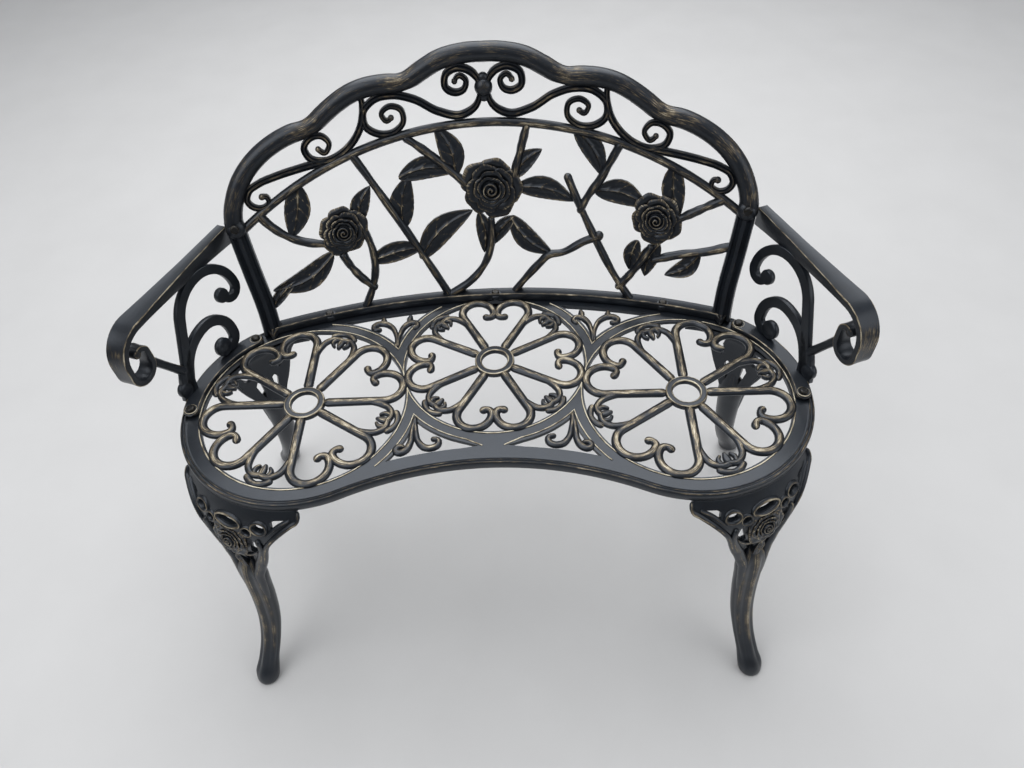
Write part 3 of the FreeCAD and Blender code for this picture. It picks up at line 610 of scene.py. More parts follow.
        up = up + LEAF.rib * rib + LEAF.vein * veins + LEAF.rim * edge
        top = np.concatenate([flat, up[..., None]], 2)
        back = np.array([0.96, 0.5, 0.0, -0.5, -0.96])
        under = middle[:, None, :] + side * ((half * teeth)[:, None] * back[None, :])[..., None]
        depth = lift - LEAF.thickness - LEAF.belly * (1 - back[None, :] ** 2) * body[:, None]
        bottom = np.concatenate([under, depth[..., None]], 2)
        shine = LEAF.face_gold + LEAF.rib_gold * rib + LEAF.vein_gold * veins + LEAF.rim_gold * edge
        shine = gold * np.clip(shine, 0, 1)
        dull = np.full((len(u), len(back)), LEAF.back_gold * gold)
        self.loft(np.concatenate([top, bottom], 1), np.concatenate([shine, dull], 1), place)

    def petal(self, x: float, y: float, angle: float, spread: float, inner: float, outer: float, low: float,
              high: float, curl: float, phase: float, place: Place, gold: float) -> None:
        """Cast one cupped petal of a rose.

        Args:
            x: Centre of the rose across.
            y: Centre of the rose along.
            angle: Direction of the petal, degrees.
            spread: Half of its sweep, degrees.
            inner: Radius at its foot.
            outer: Radius at its lip.
            low: Height at the foot.
            high: Height at the lip.
            curl: How far the lip rolls over.
            phase: Shift of the ruffles.
            place: Map from flat space to the bench.
            gold: Gold on the lip.
        """
        s = np.linspace(-1, 1, 17)
        t = np.linspace(0, 1, 12)
        lip = outer * (1 - 0.24 * np.abs(s) ** 2.6 + 0.022 * np.cos(2.6 * np.pi * s + phase))
        radius = inner + (lip[None, :] - inner) * t[:, None] ** 0.9
        swing = np.radians(angle + spread * s[None, :] * (0.72 + 0.28 * np.sin(np.pi * t[:, None] * 0.75)))
        rise = low + (high - low) * np.sin(np.clip(t[:, None] * 1.18, 0, 1) * np.pi / 2)
        rise = rise - curl * np.clip(t[:, None] - 0.72, 0, 1) ** 2 * 12
        rise = rise - (high - low) * 0.30 * np.abs(s[None, :]) ** 3 * t[:, None]
        rise = rise + PETAL_RUFFLE * np.sin(3.0 * np.pi * s[None, :] + phase) * t[:, None] ** 3
        top = np.stack([x + radius * np.cos(swing), y + radius * np.sin(swing), rise], 2)
        inset = radius - PETAL_INSET
        thin = np.stack([x + inset * np.cos(swing), y + inset * np.sin(swing), rise - PETAL_THICKNESS], 2)
        shine = np.repeat(gold * np.clip(0.12 + 0.95 * t[:, None] ** 4, 0, 1), len(s), 1)
        rings = np.concatenate([top, thin[:, ::-1]], 1)
        self.loft(rings, np.concatenate([shine, shine[:, ::-1] * 0.3], 1), place)

    def rose(self, x: float, y: float, radius: float, rise: float, place: Place, gold: float,
             spin: float) -> None:
        """Cast an open rose: ruffled outer petals, two cups and a rolled heart.

        Args:
            x: Centre across.
            y: Centre along.
            radius: Overall radius.
            rise: Height of the heart above the flat.
            place: Map from flat space to the bench.
            gold: Gold on the lips.
            spin: Turn of the whole flower, degrees.
        """
        core = radius * 0.6
        self.ball(x, y, rise * 0.22, core, place, gold=0.1, squash=rise * 0.5 / core)
        for level, ring in enumerate(ROSE_RINGS):
            for k in range(ring.count):
                wobble = 1 + 0.05 * math.sin(2.3 * k + level + spin)
                self.petal(x, y, spin + ring.start + 360.0 * k / ring.count, ring.spread, ring.foot * radius,
                           ring.lip * radius * wobble, ring.low * rise + 0.25 * k,
                           ring.high * rise * wobble + 0.12 * k, ring.curl * rise * 0.3, 1.7 * k + level,
                           place, gold)
        wind = np.linspace(0, 1, 46)
        reach, turn = radius * (0.03 + 0.29 * wind), 13.0 * wind
        heart = np.column_stack([x + reach * np.cos(turn), y + reach * np.sin(turn)])
        self.bar(heart, radius * 0.085, high=2.2, low=rise * 0.8, place=place, section=Section.ROUND,
                 gold=gold, level=rise * (1.04 - 0.2 * wind))

    def mirrored(self, name: str) -> "Casting":
        """Copy the casting to the other side of the bench.

        Args:
            name: Name of the copy.

        Returns:
            The copy.
        """
        twin = Casting(name)
        twin.points = [p * np.array([-1.0, 1.0, 1.0]) for p in self.points]
        twin.gold, twin.brush, twin.faces, twin.count = self.gold, self.brush, self.faces, self.count
        return twin

    def finish(self, shift: float, material: bpy.types.Material) -> bpy.types.Object:
        """Turn the gathered bars into one object of the scene.

        Args:
            shift: Move to the back from the drawing's frame to the CAD frame, in millimetres.
            material: Finish of the casting.

        Returns:
            The object, linked to the scene.
        """
        points = np.concatenate(self.points) + np.array([0.0, shift, 0.0])
        mesh = bpy.data.meshes.new(self.name)
        mesh.from_pydata((points * MM).tolist(), [], self.faces)
        gold = mesh.attributes.new("gold", "FLOAT", "POINT")
        gold.data.foreach_set("value", np.concatenate(self.gold).astype(np.float32))
        strokes = mesh.attributes.new("brush", "FLOAT_VECTOR", "POINT")
        strokes.data.foreach_set("vector", np.concatenate(self.brush).astype(np.float32).ravel())
        work = bmesh.new()
        work.from_mesh(mesh)
        bmesh.ops.recalc_face_normals(work, faces=work.faces)
        work.to_mesh(mesh)
        work.free()
        mesh.polygons.foreach_set("use_smooth", [True] * len(mesh.polygons))
        mesh.set_sharp_from_angle(angle=math.radians(SHARP_ANGLE))
        mesh.materials.append(material)
        piece = bpy.data.objects.new(self.name, mesh)
        bpy.context.scene.collection.objects.link(piece)
        return piece

    def dress(self, node: str, shift: float, material: bpy.types.Material) -> None:
        """Finish the casting and put it in the place of its CAD node.

        Args:
            node: CAD node it stands for.
            shift: Move to the back from the drawing's frame to the CAD frame, in millimetres.
            material: Finish of the casting.
        """
        piece = self.finish(shift, material)
        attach(piece, "root")
        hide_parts(node)
        LOG.info("%s stands for %s: %d faces", piece.name, node, len(piece.data.polygons))


def add_node(tree: bpy.types.NodeTree, kind: str, settings: Optional[dict[str, Any]] = None,
             links: Optional[dict[str, Any]] = None) -> bpy.types.Node:
    """Add a shader node with its settings and links.

    Args:
        tree: Node tree of the material.
        kind: Identifier of the node type.
        settings: Values by the name of a property or socket, or by a socket's number in digits.
        links: Output sockets to feed in, by an input's name or its number in digits.

    Returns:
        The new node.
    """
    node = tree.nodes.new(kind)
    for name, value in (settings or {}).items():
        if name.isdigit():
            node.inputs[int(name)].default_value = value
        elif name in node.inputs:
            node.inputs[name].default_value = value
        else:
            setattr(node, name, value)
    for name, source in (links or {}).items():
        tree.links.new(source, node.inputs[int(name)] if name.isdigit() else node.inputs[name])
    return node


def bare_material(name: str) -> bpy.types.Material:
    """Start a material with an empty node tree.

    Args:
        name: Name of the material.

    Returns:
        The material.
    """
    made = bpy.data.materials.new(name)
    made.use_nodes = True
    made.node_tree.nodes.clear()
    return made


@dataclass(frozen=True)
class BrushedGoldOverBlack:
    """Sand-cast aluminium, sprayed satin black and dry-brushed with antique gold.

    The black is satin and a little uneven, cool in places, with a fine cast grain. The brush leaves gold only
    on crests and edges, broken into streaks, from brown where it is thin to pale gold where it is thick.
    """

    name: str = "dry_brushed_black_casting"
    deep: str = "#0d0c0b"
    cool: str = "#1c222a"
    brown: str = "#3a3026"
    bronze: str = "#82745b"
    pale: str = "#dad2bc"
    # Tint of the paint's reflections: a painted cool blue-grey that stands in for reflected sky light, not a
    # colour of the lacquer
    sky_reflection_tint: str = "#d3dae4"
    sheen: float = 0.75
    roughness_paint: float = 0.27
    roughness_gold: float = 0.42
    roughness_streaks: float = 0.10
    metallic_gold: float = 0.35
    patch_mm: float = 30.0
    # Bristle marks and sand grain are some tenths of a millimetre; both are drawn coarser so that they show
    stroke_mm: tuple[float, float] = (15.0, 1.5)
    grain_mm: float = 1.6
    relief_mm: float = 0.6
    relief: float = 0.22
    relief_streaks: float = 0.8
    patch_share: float = 0.7
    chance: tuple[float, float] = (0.60, 1.11)
    lift: tuple[float, float] = (-0.46, 0.40)
    reach: tuple[float, float] = (0.04, 0.34)
    cover: tuple[float, float] = (0.22, 0.66)
    stops: tuple[float, float, float] = (0.24, 0.56, 0.98)

    def brushing(self, tree: bpy.types.NodeTree, patches: bpy.types.NodeSocket,
                 streaks: bpy.types.NodeSocket) -> bpy.types.NodeSocket:
        """Work out how much gold the brush leaves, from the casting's gold attribute and chance.

        Args:
            tree: Node tree of the paint.
            patches: Broad unevenness.
            streaks: Unevenness along the brush.

        Returns:
            Amount of gold, from 0 to 1.
        """
        gold = add_node(tree, "ShaderNodeAttribute", {"attribute_name": "gold"}).outputs["Fac"]
        chance = add_node(tree, "ShaderNodeMath", {"operation": "MULTIPLY_ADD", "1": self.patch_share},
                          {"0": patches, "2": streaks})
        lift = add_node(tree, "ShaderNodeMapRange", {"From Min": self.chance[0], "From Max": self.chance[1],
                                                     "To Min": self.lift[0], "To Max": self.lift[1]},
                        {"Value": chance.outputs[0]})
        thick = add_node(tree, "ShaderNodeMath", {"operation": "ADD"},
                         {"0": gold, "1": lift.outputs["Result"]})
        reach = add_node(tree, "ShaderNodeMapRange", {"From Min": self.reach[0], "From Max": self.reach[1]},
                         {"Value": gold})
        left = add_node(tree, "ShaderNodeMath", {"operation": "MULTIPLY", "use_clamp": True},
                        {"0": thick.outputs[0], "1": reach.outputs["Result"]})
        return left.outputs[0]

    def coat(self, tree: bpy.types.NodeTree, patches: bpy.types.NodeSocket, gold: bpy.types.NodeSocket,
             cover: bpy.types.NodeSocket) -> bpy.types.NodeSocket:
        """Mix the black with the gold, which pales as it thickens.

        Args:
            tree: Node tree of the paint.
            patches: Broad unevenness of the black.
            gold: Amount of gold.
            cover: How far the gold hides the black.

        Returns:
            Colour of the coat.
        """
        black = add_node(tree, "ShaderNodeMix",
                         {"data_type": "RGBA", "6": linear(self.deep), "7": linear(self.cool)},
                         {"Factor": patches})
        ramp = add_node(tree, "ShaderNodeValToRGB", links={"Fac": gold})
        stops = ramp.color_ramp.elements
        stops.new(self.stops[1])
        for stop, position, colour in zip(stops, self.stops, (self.brown, self.bronze, self.pale)):
            stop.position = position
            stop.color = linear(colour)
        mixed = add_node(tree, "ShaderNodeMix", {"data_type": "RGBA"},
                         {"Factor": cover, "6": black.outputs[2], "7": ramp.outputs["Color"]})
        return mixed.outputs[2]

    def material(self) -> bpy.types.Material:
        """Build the paint and its brushing, which runs along each bar by the casting's brush attribute.

        Returns:
            The material.
        """
        made = bare_material(self.name)
        tree = made.node_tree
        place = add_node(tree, "ShaderNodeTexCoord").outputs["Object"]
        brush = add_node(tree, "ShaderNodeAttribute", {"attribute_name": "brush"}).outputs["Vector"]
        long, wide = self.stroke_mm
        stroke = add_node(tree, "ShaderNodeVectorMath",
                          {"operation": "MULTIPLY", "1": (1 / long, 1 / wide, 0.0)}, {"0": brush})
        patches, streaks, grain = [
            add_node(tree, "ShaderNodeTexNoise", {"Scale": scale, "Detail": detail, "Roughness": fineness},
                     {"Vector": source}).outputs["Fac"]
            for scale, detail, fineness, source in ((1 / (self.patch_mm * MM), 4.0, 0.6, place),
                                                    (1.0, 4.0, 0.6, stroke.outputs["Vector"]),
                                                    (1 / (self.grain_mm * MM), 2.0, 0.5, place))]
        gold = self.brushing(tree, patches, streaks)
        cover = add_node(tree, "ShaderNodeMapRange", {"From Min": self.cover[0], "From Max": self.cover[1]},
                         {"Value": gold}).outputs["Result"]
        metal = add_node(tree, "ShaderNodeMapRange", {"To Max": self.metallic_gold}, {"Value": cover})
        smooth = add_node(tree, "ShaderNodeMapRange",
                          {"To Min": self.roughness_paint, "To Max": self.roughness_gold}, {"Value": cover})
        rough = add_node(tree, "ShaderNodeMath", {"operation": "MULTIPLY_ADD", "1": self.roughness_streaks},
                         {"0": streaks, "2": smooth.outputs["Result"]})
        height = add_node(tree, "ShaderNodeMath", {"operation": "MULTIPLY_ADD", "1": self.relief_streaks},
                          {"0": streaks, "2": grain})
        bumps = add_node(tree, "ShaderNodeBump", {"Strength": self.relief, "Distance": self.relief_mm * MM},
                         {"Height": height.outputs[0]})
        # The specular tint paints a sky reflection: every gleam of the paint comes out cool blue-grey
        shader = add_node(tree, "ShaderNodeBsdfPrincipled",
                          {"Specular IOR Level": self.sheen, "Specular Tint": linear(self.sky_reflection_tint)},
                          {"Base Color": self.coat(tree, patches, gold, cover),
                           "Metallic": metal.outputs["Result"], "Roughness": rough.outputs[0],
                           "Normal": bumps.outputs["Normal"]})
        add_node(tree, "ShaderNodeOutputMaterial", links={"Surface": shader.outputs["BSDF"]})
        return made


@dataclass(frozen=True)
class DarkPlatedSteel:
    """Rolled steel, plated dark and oversprayed black: a half-dull head with small grey worn spots."""

    name: str = "dark_plated_steel"
    black: str = "#0c0c0d"
    worn: str = "#38352f"
    roughness: float = 0.38
    wear_mm: float = 4.0
    wear: tuple[float, float] = (0.46, 0.66)
    relief_mm: float = 0.4
    relief: float = 0.15

    def material(self) -> bpy.types.Material:
        """Build the plated finish with patchy wear.

        Returns:
            The material.
        """
        made = bare_material(self.name)
        tree = made.node_tree
        place = add_node(tree, "ShaderNodeTexCoord").outputs["Object"]
        spots = add_node(tree, "ShaderNodeTexNoise", {"Scale": 1 / (self.wear_mm * MM), "Detail": 4.0},
                         {"Vector": place}).outputs["Fac"]
        share = add_node(tree, "ShaderNodeMapRange", {"From Min": self.wear[0], "From Max": self.wear[1]},
                         {"Value": spots}).outputs["Result"]
        colour = add_node(tree, "ShaderNodeMix",
                          {"data_type": "RGBA", "6": linear(self.black), "7": linear(self.worn)},
                          {"Factor": share})
        bumps = add_node(tree, "ShaderNodeBump", {"Strength": self.relief, "Distance": self.relief_mm * MM},
                         {"Height": spots})
        shader = add_node(tree, "ShaderNodeBsdfPrincipled", {"Roughness": self.roughness},
                          {"Base Color": colour.outputs[2], "Metallic": share,
                           "Normal": bumps.outputs["Normal"]})
        add_node(tree, "ShaderNodeOutputMaterial", links={"Surface": shader.outputs["BSDF"]})
        return made


@dataclass(frozen=True)
class PaleMattFloor:
    """Concrete rolled with matt pale grey paint: faintly clouded, without gleam."""

    name: str = "pale_floor"
    shade: str = "#c8c8c8"
    light: str = "#d0d0d0"
    roughness: float = 0.85
    cloud_mm: float = 166.7

    def material(self) -> bpy.types.Material:
        """Build the floor's paint.

        Returns:
            The material.
        """
        made = bare_material(self.name)
        tree = made.node_tree
        place = add_node(tree, "ShaderNodeTexCoord").outputs["Object"]
        clouds = add_node(tree, "ShaderNodeTexNoise", {"Scale": 1 / (self.cloud_mm * MM), "Detail": 3.0},
                          {"Vector": place})
        colour = add_node(tree, "ShaderNodeMix",
                          {"data_type": "RGBA", "6": linear(self.shade), "7": linear(self.light)},
                          {"Factor": clouds.outputs["Fac"]})
        shader = add_node(tree, "ShaderNodeBsdfPrincipled", {"Roughness": self.roughness},
                          {"Base Color": colour.outputs[2]})
        add_node(tree, "ShaderNodeOutputMaterial", links={"Surface": shader.outputs["BSDF"]})
        return made


@dataclass
class Seat:
    """Kidney-shaped seat: a moulded rim round three medallions of spokes, heart curls and tendrils.

    Mouldings list their corners as inset, height and gold. Tendrils list knots as radius and angle, in the
    size of the middle medallion. Sprays list knots from the point where two medallions come nearest.
    """

    height: float = 410.0
    hub_x: float = 277.0
    hub_forward: float = 73.5
    side_ring: float = 147.0
    mid_ring: float = 134.5
    side_twist: float = 151.5
    rear: float = 152.0
    front: float = 190.0
    rim_band: float = 30.0
    ring_band: float = 22.5
    edge_band: float = 29.0
    bridge: float = 50.0
    bridge_flare: float = 19.0
    tip_inset: float = 5.0
    tip_forward: float = 159.0
    plate_inset: float = 10.0
    plate_top: float = -2.1
    plate_back: float = -8.0
    ring_bead: float = 3.4
    spandrel_bead: float = 5.0
    hub_radius: float = 30.0
    spoke_spread: float = 28.0
    spoke_foot: float = 35.0
    spoke_waist: float = 60.0
    spoke_crown: float = 88.0
    heart: Steps = ((18.5, 0), (24.0, -118), (26.0, -90), (8.0, -118))
    spoke_widths: Sequence[float] = (15.0, 13.8, 12.6, 10.4, 12.4)
    spoke_shares: Sequence[float] = (0.0, 0.3, 0.8, 0.93, 1.0)
    spoke_high: float = 4.8
    spoke_gold: float = 0.62
    bar_depth: float = 5.0
    bar_level: float = -2.4
    tendrils: Sequence[Strand] = (
        Strand(((88, 28.4), (103, 31.0), (115, 34.5), (121.5, 39.5), (120, 45.0)), (11.5, 10.4, 9.6),
               (0, 0.55, 1)),
        Strand(((121, 45.0), (114, 44.6), (106, 45.0)), (9.0, 10.0, 6.0), None, 3.4, 0.45, 2.5),
        Strand(((120, 40.5), (113, 39.4), (108, 41.0)), (8.0, 8.0, 5.4), None, 3.4, 0.45, 2.5),
        Strand(((127, 38.0), (131, 41.0), (133, 44.9)), (10.0, 10.0, 9.0), None, 3.4, 0.45, 2.5))
    front_sprays: Sequence[Knots] = (
        ((0, 2), (-3, -22), (-7, -38), (-16, -48.5), (-27, -50), (-35, -45), (-35, -37), (-28, -35)),
        ((0, 2), (3, -24), (4, -42), (10, -54), (18, -57.5), (23, -54), (20, -47), (14, -47)))
    rear_sprays: Sequence[Knots] = (
        ((-1, -2), (-2, 24), (-7, 40), (-16, 49), (-25, 48), (-28, 41), (-24, 36)),
        ((2, -2), (5, 24), (13, 40), (25, 48), (36, 48), (42, 41), (38, 34), (32, 35)),
        ((-13, 48), (-14, 55), (-15, 62)), ((26, 48), (27, 52), (28, 58)))
    spray_widths: Sequence[float] = (6.5, 8.0, 11.0, 10.4, 7.5)
    spray_shares: Sequence[float] = (0.0, 0.3, 0.6, 0.85, 1.0)
    spray_high: float = 4.2
    spray_level: float = -3.0
    rim_moulding: Moulding = (
        (1.4, -14.0, 0.0), (0.2, -12.0, 0.0), (0.0, -4.5, 0.0), (0.4, -2.2, 0.1), (1.2, -0.8, 0.3),
        (2.2, -0.3, 0.45), (3.2, -0.8, 0.3), (4.0, -2.2, 0.0), (5.2, -2.4, 0.0), (6.0, -1.3, 0.25),
        (6.8, -0.9, 0.4), (7.6, -1.3, 0.25), (8.4, -2.1, 0.0), (12.0, -2.2, 0.0), (12.2, -8.2, 0.0),
        (13.4, -8.2, 0.0), (13.0, -14.0, 0.0))
    bead: Moulding = ((-1.2, -2.6, 0.0), (-1.1, -1.7, 0.3), (-0.6, -1.0, 0.8), (0.0, -0.8, 0.95),
                      (0.6, -1.0, 0.8), (1.1, -1.7, 0.3), (1.2, -2.6, 0.0))
    hub_moulding: Moulding = ((0.0, -6.5, 0.0), (0.2, -0.5, 0.3), (1.5, 1.0, 0.9), (3.0, 1.2, 0.15),
                              (7.5, 1.2, 0.15), (9.0, 1.0, 0.9), (10.4, -0.5, 0.3), (10.5, -6.5, 0.0))

    def place(self, flat: Array) -> Array:
        """Lift a flat drawing to the top of the seat."""
        return flat + np.array([0.0, 0.0, self.height])

    @property
    def lobe(self) -> float:
        """Outer radius of the seat's round ends."""
        return self.side_ring + self.rim_band

    def arc_centre(self, edge: float, side: float) -> float:
        """Centre of the arc that touches both lobes and meets the middle line at an edge."""
        offset = edge - side * self.lobe
        return (offset ** 2 - self.hub_x ** 2 - self.hub_forward ** 2) / (2 * (offset + self.hub_forward))

    def outline(self, inset: float = 0.0) -> Array:
        """Draw the seat's edge anticlockwise from the right-hand lobe.

        Args:
            inset: How far inside the edge to draw.

        Returns:
            Closed line.
        """
        rear, front = self.arc_centre(self.rear, 1), self.arc_centre(-self.front, -1)
        first = math.atan2(front + self.hub_forward, -self.hub_x)
        last = math.atan2(-self.hub_forward - rear, self.hub_x)
        top = math.atan2(-self.hub_forward - front, -self.hub_x)
        lobe = self.lobe - inset
        arcs = []
        for x, y, radius, start, end, count in (
                (self.hub_x, -self.hub_forward, lobe, first, last, 90),
                (0.0, rear, self.rear - rear - inset, last, math.pi - last, 110),
                (-self.hub_x, -self.hub_forward, lobe, math.pi - last, math.pi - first, 90),
                (0.0, front, inset - self.front - front, top, math.pi - top, 70)):
            a = np.linspace(start, end, count, endpoint=False)
            arcs.append(np.stack([x + radius * np.cos(a), y + radius * np.sin(a)], 1))
        return np.concatenate(arcs)

    def apex(self, front: bool, band: float) -> Array:
        """Point where the bands round the middle and right-hand medallions cross, in front or behind."""
        hub = (self.hub_x, -self.hub_forward)
        return meet((0.0, 0.0), self.mid_ring + band, hub, self.side_ring + band, -1.0 if front else 1.0)

    def spandrel(self, front: bool, grow: float = 0.0, line: bool = False) -> Array:
        """Draw the opening between the middle and right-hand medallions and the rim.

        Args:
            front: True for the front opening, False for the rear one.
            grow: How far outside the opening to draw.
            line: True for the open line along the medallions only.

        Returns:
            Closed line, or the open one.
        """
        band, middle, hub = self.ring_band - grow, (0.0, 0.0), (self.hub_x, -self.hub_forward)
        near, far = self.mid_ring + band, self.side_ring + band
        apex = self.apex(front, band)
        if front:
            rim = (0.0, self.arc_centre(-self.front, -1))
            reach = self.edge_band - grow - self.front - rim[1]
            half = self.bridge / 2 + self.bridge_flare - grow
            first = np.array([half, -math.sqrt(near ** 2 - half ** 2)])
            last = np.array([half, rim[1] + math.sqrt(reach ** 2 - half ** 2)])
            tip = [np.array([[self.bridge / 2 - self.tip_inset - grow, -self.tip_forward]])]
            end = [last[None, :]]
        else:
            rim = (0.0, self.arc_centre(self.rear, 1))
            reach = self.rear - rim[1] - self.edge_band + grow
            first = last = meet(middle, near, rim, reach, 1.0)
            tip, end = [], []
        corner = meet(hub, far, rim, reach, -1.0)
        edge = tip + [arc(middle, first, apex), arc(hub, apex, corner)]
        return np.concatenate(edge if line else edge + [arc(rim, corner, last)] + end)

    def rear_edge(self, x: Array, inset: float) -> Array:
        """Distance to the back of the seat's rear edge."""
        centre = self.arc_centre(self.rear, 1)
        return centre + np.sqrt((self.rear - centre - inset) ** 2 - x ** 2)

    def medallion(self, cast: Casting, ring: float, twist: float, x: float, y: float) -> None:
        """Cast the spokes, heart curls, tendrils and hub of one medallion.

        Args:
            cast: Casting to add to.
            ring: Radius of the opening.
            twist: Turn of the pattern, degrees.
            x: Hub across.
            y: Hub along.
        """
        scale = ring / self.mid_ring
        cast.band(circle(x, y, self.hub_radius, 72), self.hub_moulding, self.place)
        radii = (self.spoke_foot, self.spoke_waist, self.spoke_crown * scale)
        spoke = [polar(radius, self.spoke_spread) for radius in radii]
        heart = trail(*spoke[-1], self.spoke_spread, [(size * scale, turn) for size, turn in self.heart])
        line = np.concatenate([curve(spoke, 4.0)[:-1], heart])
        bars = [(line, taper(line, self.spoke_widths, self.spoke_shares), self.spoke_high, self.spoke_gold)]
        for strand in self.tendrils:
            path = curve([polar(radius * scale, angle) for radius, angle in strand.knots], strand.gap)
            bars.append((path, taper(path, strand.widths, strand.shares), strand.high, strand.gold))
        for quarter in range(4):
            for side in (1, -1):
                for path, width, high, gold in bars:
                    drawn = turned(path if side == 1 else flipped(path, 1), twist + 90.0 * quarter, x, y)
                    cast.bar(drawn, width, high, self.bar_depth, self.place, Section.ROUND, gold,
                             self.bar_level)

    def sprays(self, cast: Casting) -> None:
        """Cast the leafy sprays in the openings between the medallions.

        Args:
            cast: Casting to add to.
        """
        for front, sprays in ((True, self.front_sprays), (False, self.rear_sprays)):
            for knots in sprays:
                frond = curve(knots, 3.0) + self.apex(front, self.ring_band)
                width = taper(frond, self.spray_widths, self.spray_shares)
                for drawn in (frond, flipped(frond)):
                    cast.bar(drawn, width, self.spray_high, self.bar_depth, self.place, Section.ROUND,
                             gold=0.5, level=self.spray_level)

    def build(self) -> Casting:
        """Cast the whole seat.

        Returns:
            The casting.
        """
        cast = Casting("seat")
        cast.band(self.outline(), self.rim_moulding, self.place)
        openings = []
        for front in (True, False):
            opening = self.spandrel(front)
            openings += [opening, flipped(opening)[::-1]]
            line = self.spandrel(front, self.spandrel_bead, True)
            for drawn in (line, flipped(line)):
                cast.band(drawn, self.bead, self.place, False)
        for x, y, radius, twist in (
                (0.0, 0.0, self.mid_ring, 0.0),
                (self.hub_x, -self.hub_forward, self.side_ring, self.side_twist),
                (-self.hub_x, -self.hub_forward, self.side_ring, 180.0 - self.side_twist)):
            cast.band(circle(x, y, radius + self.ring_bead, 150), self.bead, self.place)
            openings.append(circle(x, y, radius, 150))
            self.medallion(cast, radius, twist, x, y)
        cast.plate([self.outline(self.plate_inset)] + openings, self.plate_top, self.plate_back, self.place)
        self.sprays(cast)
        return cast


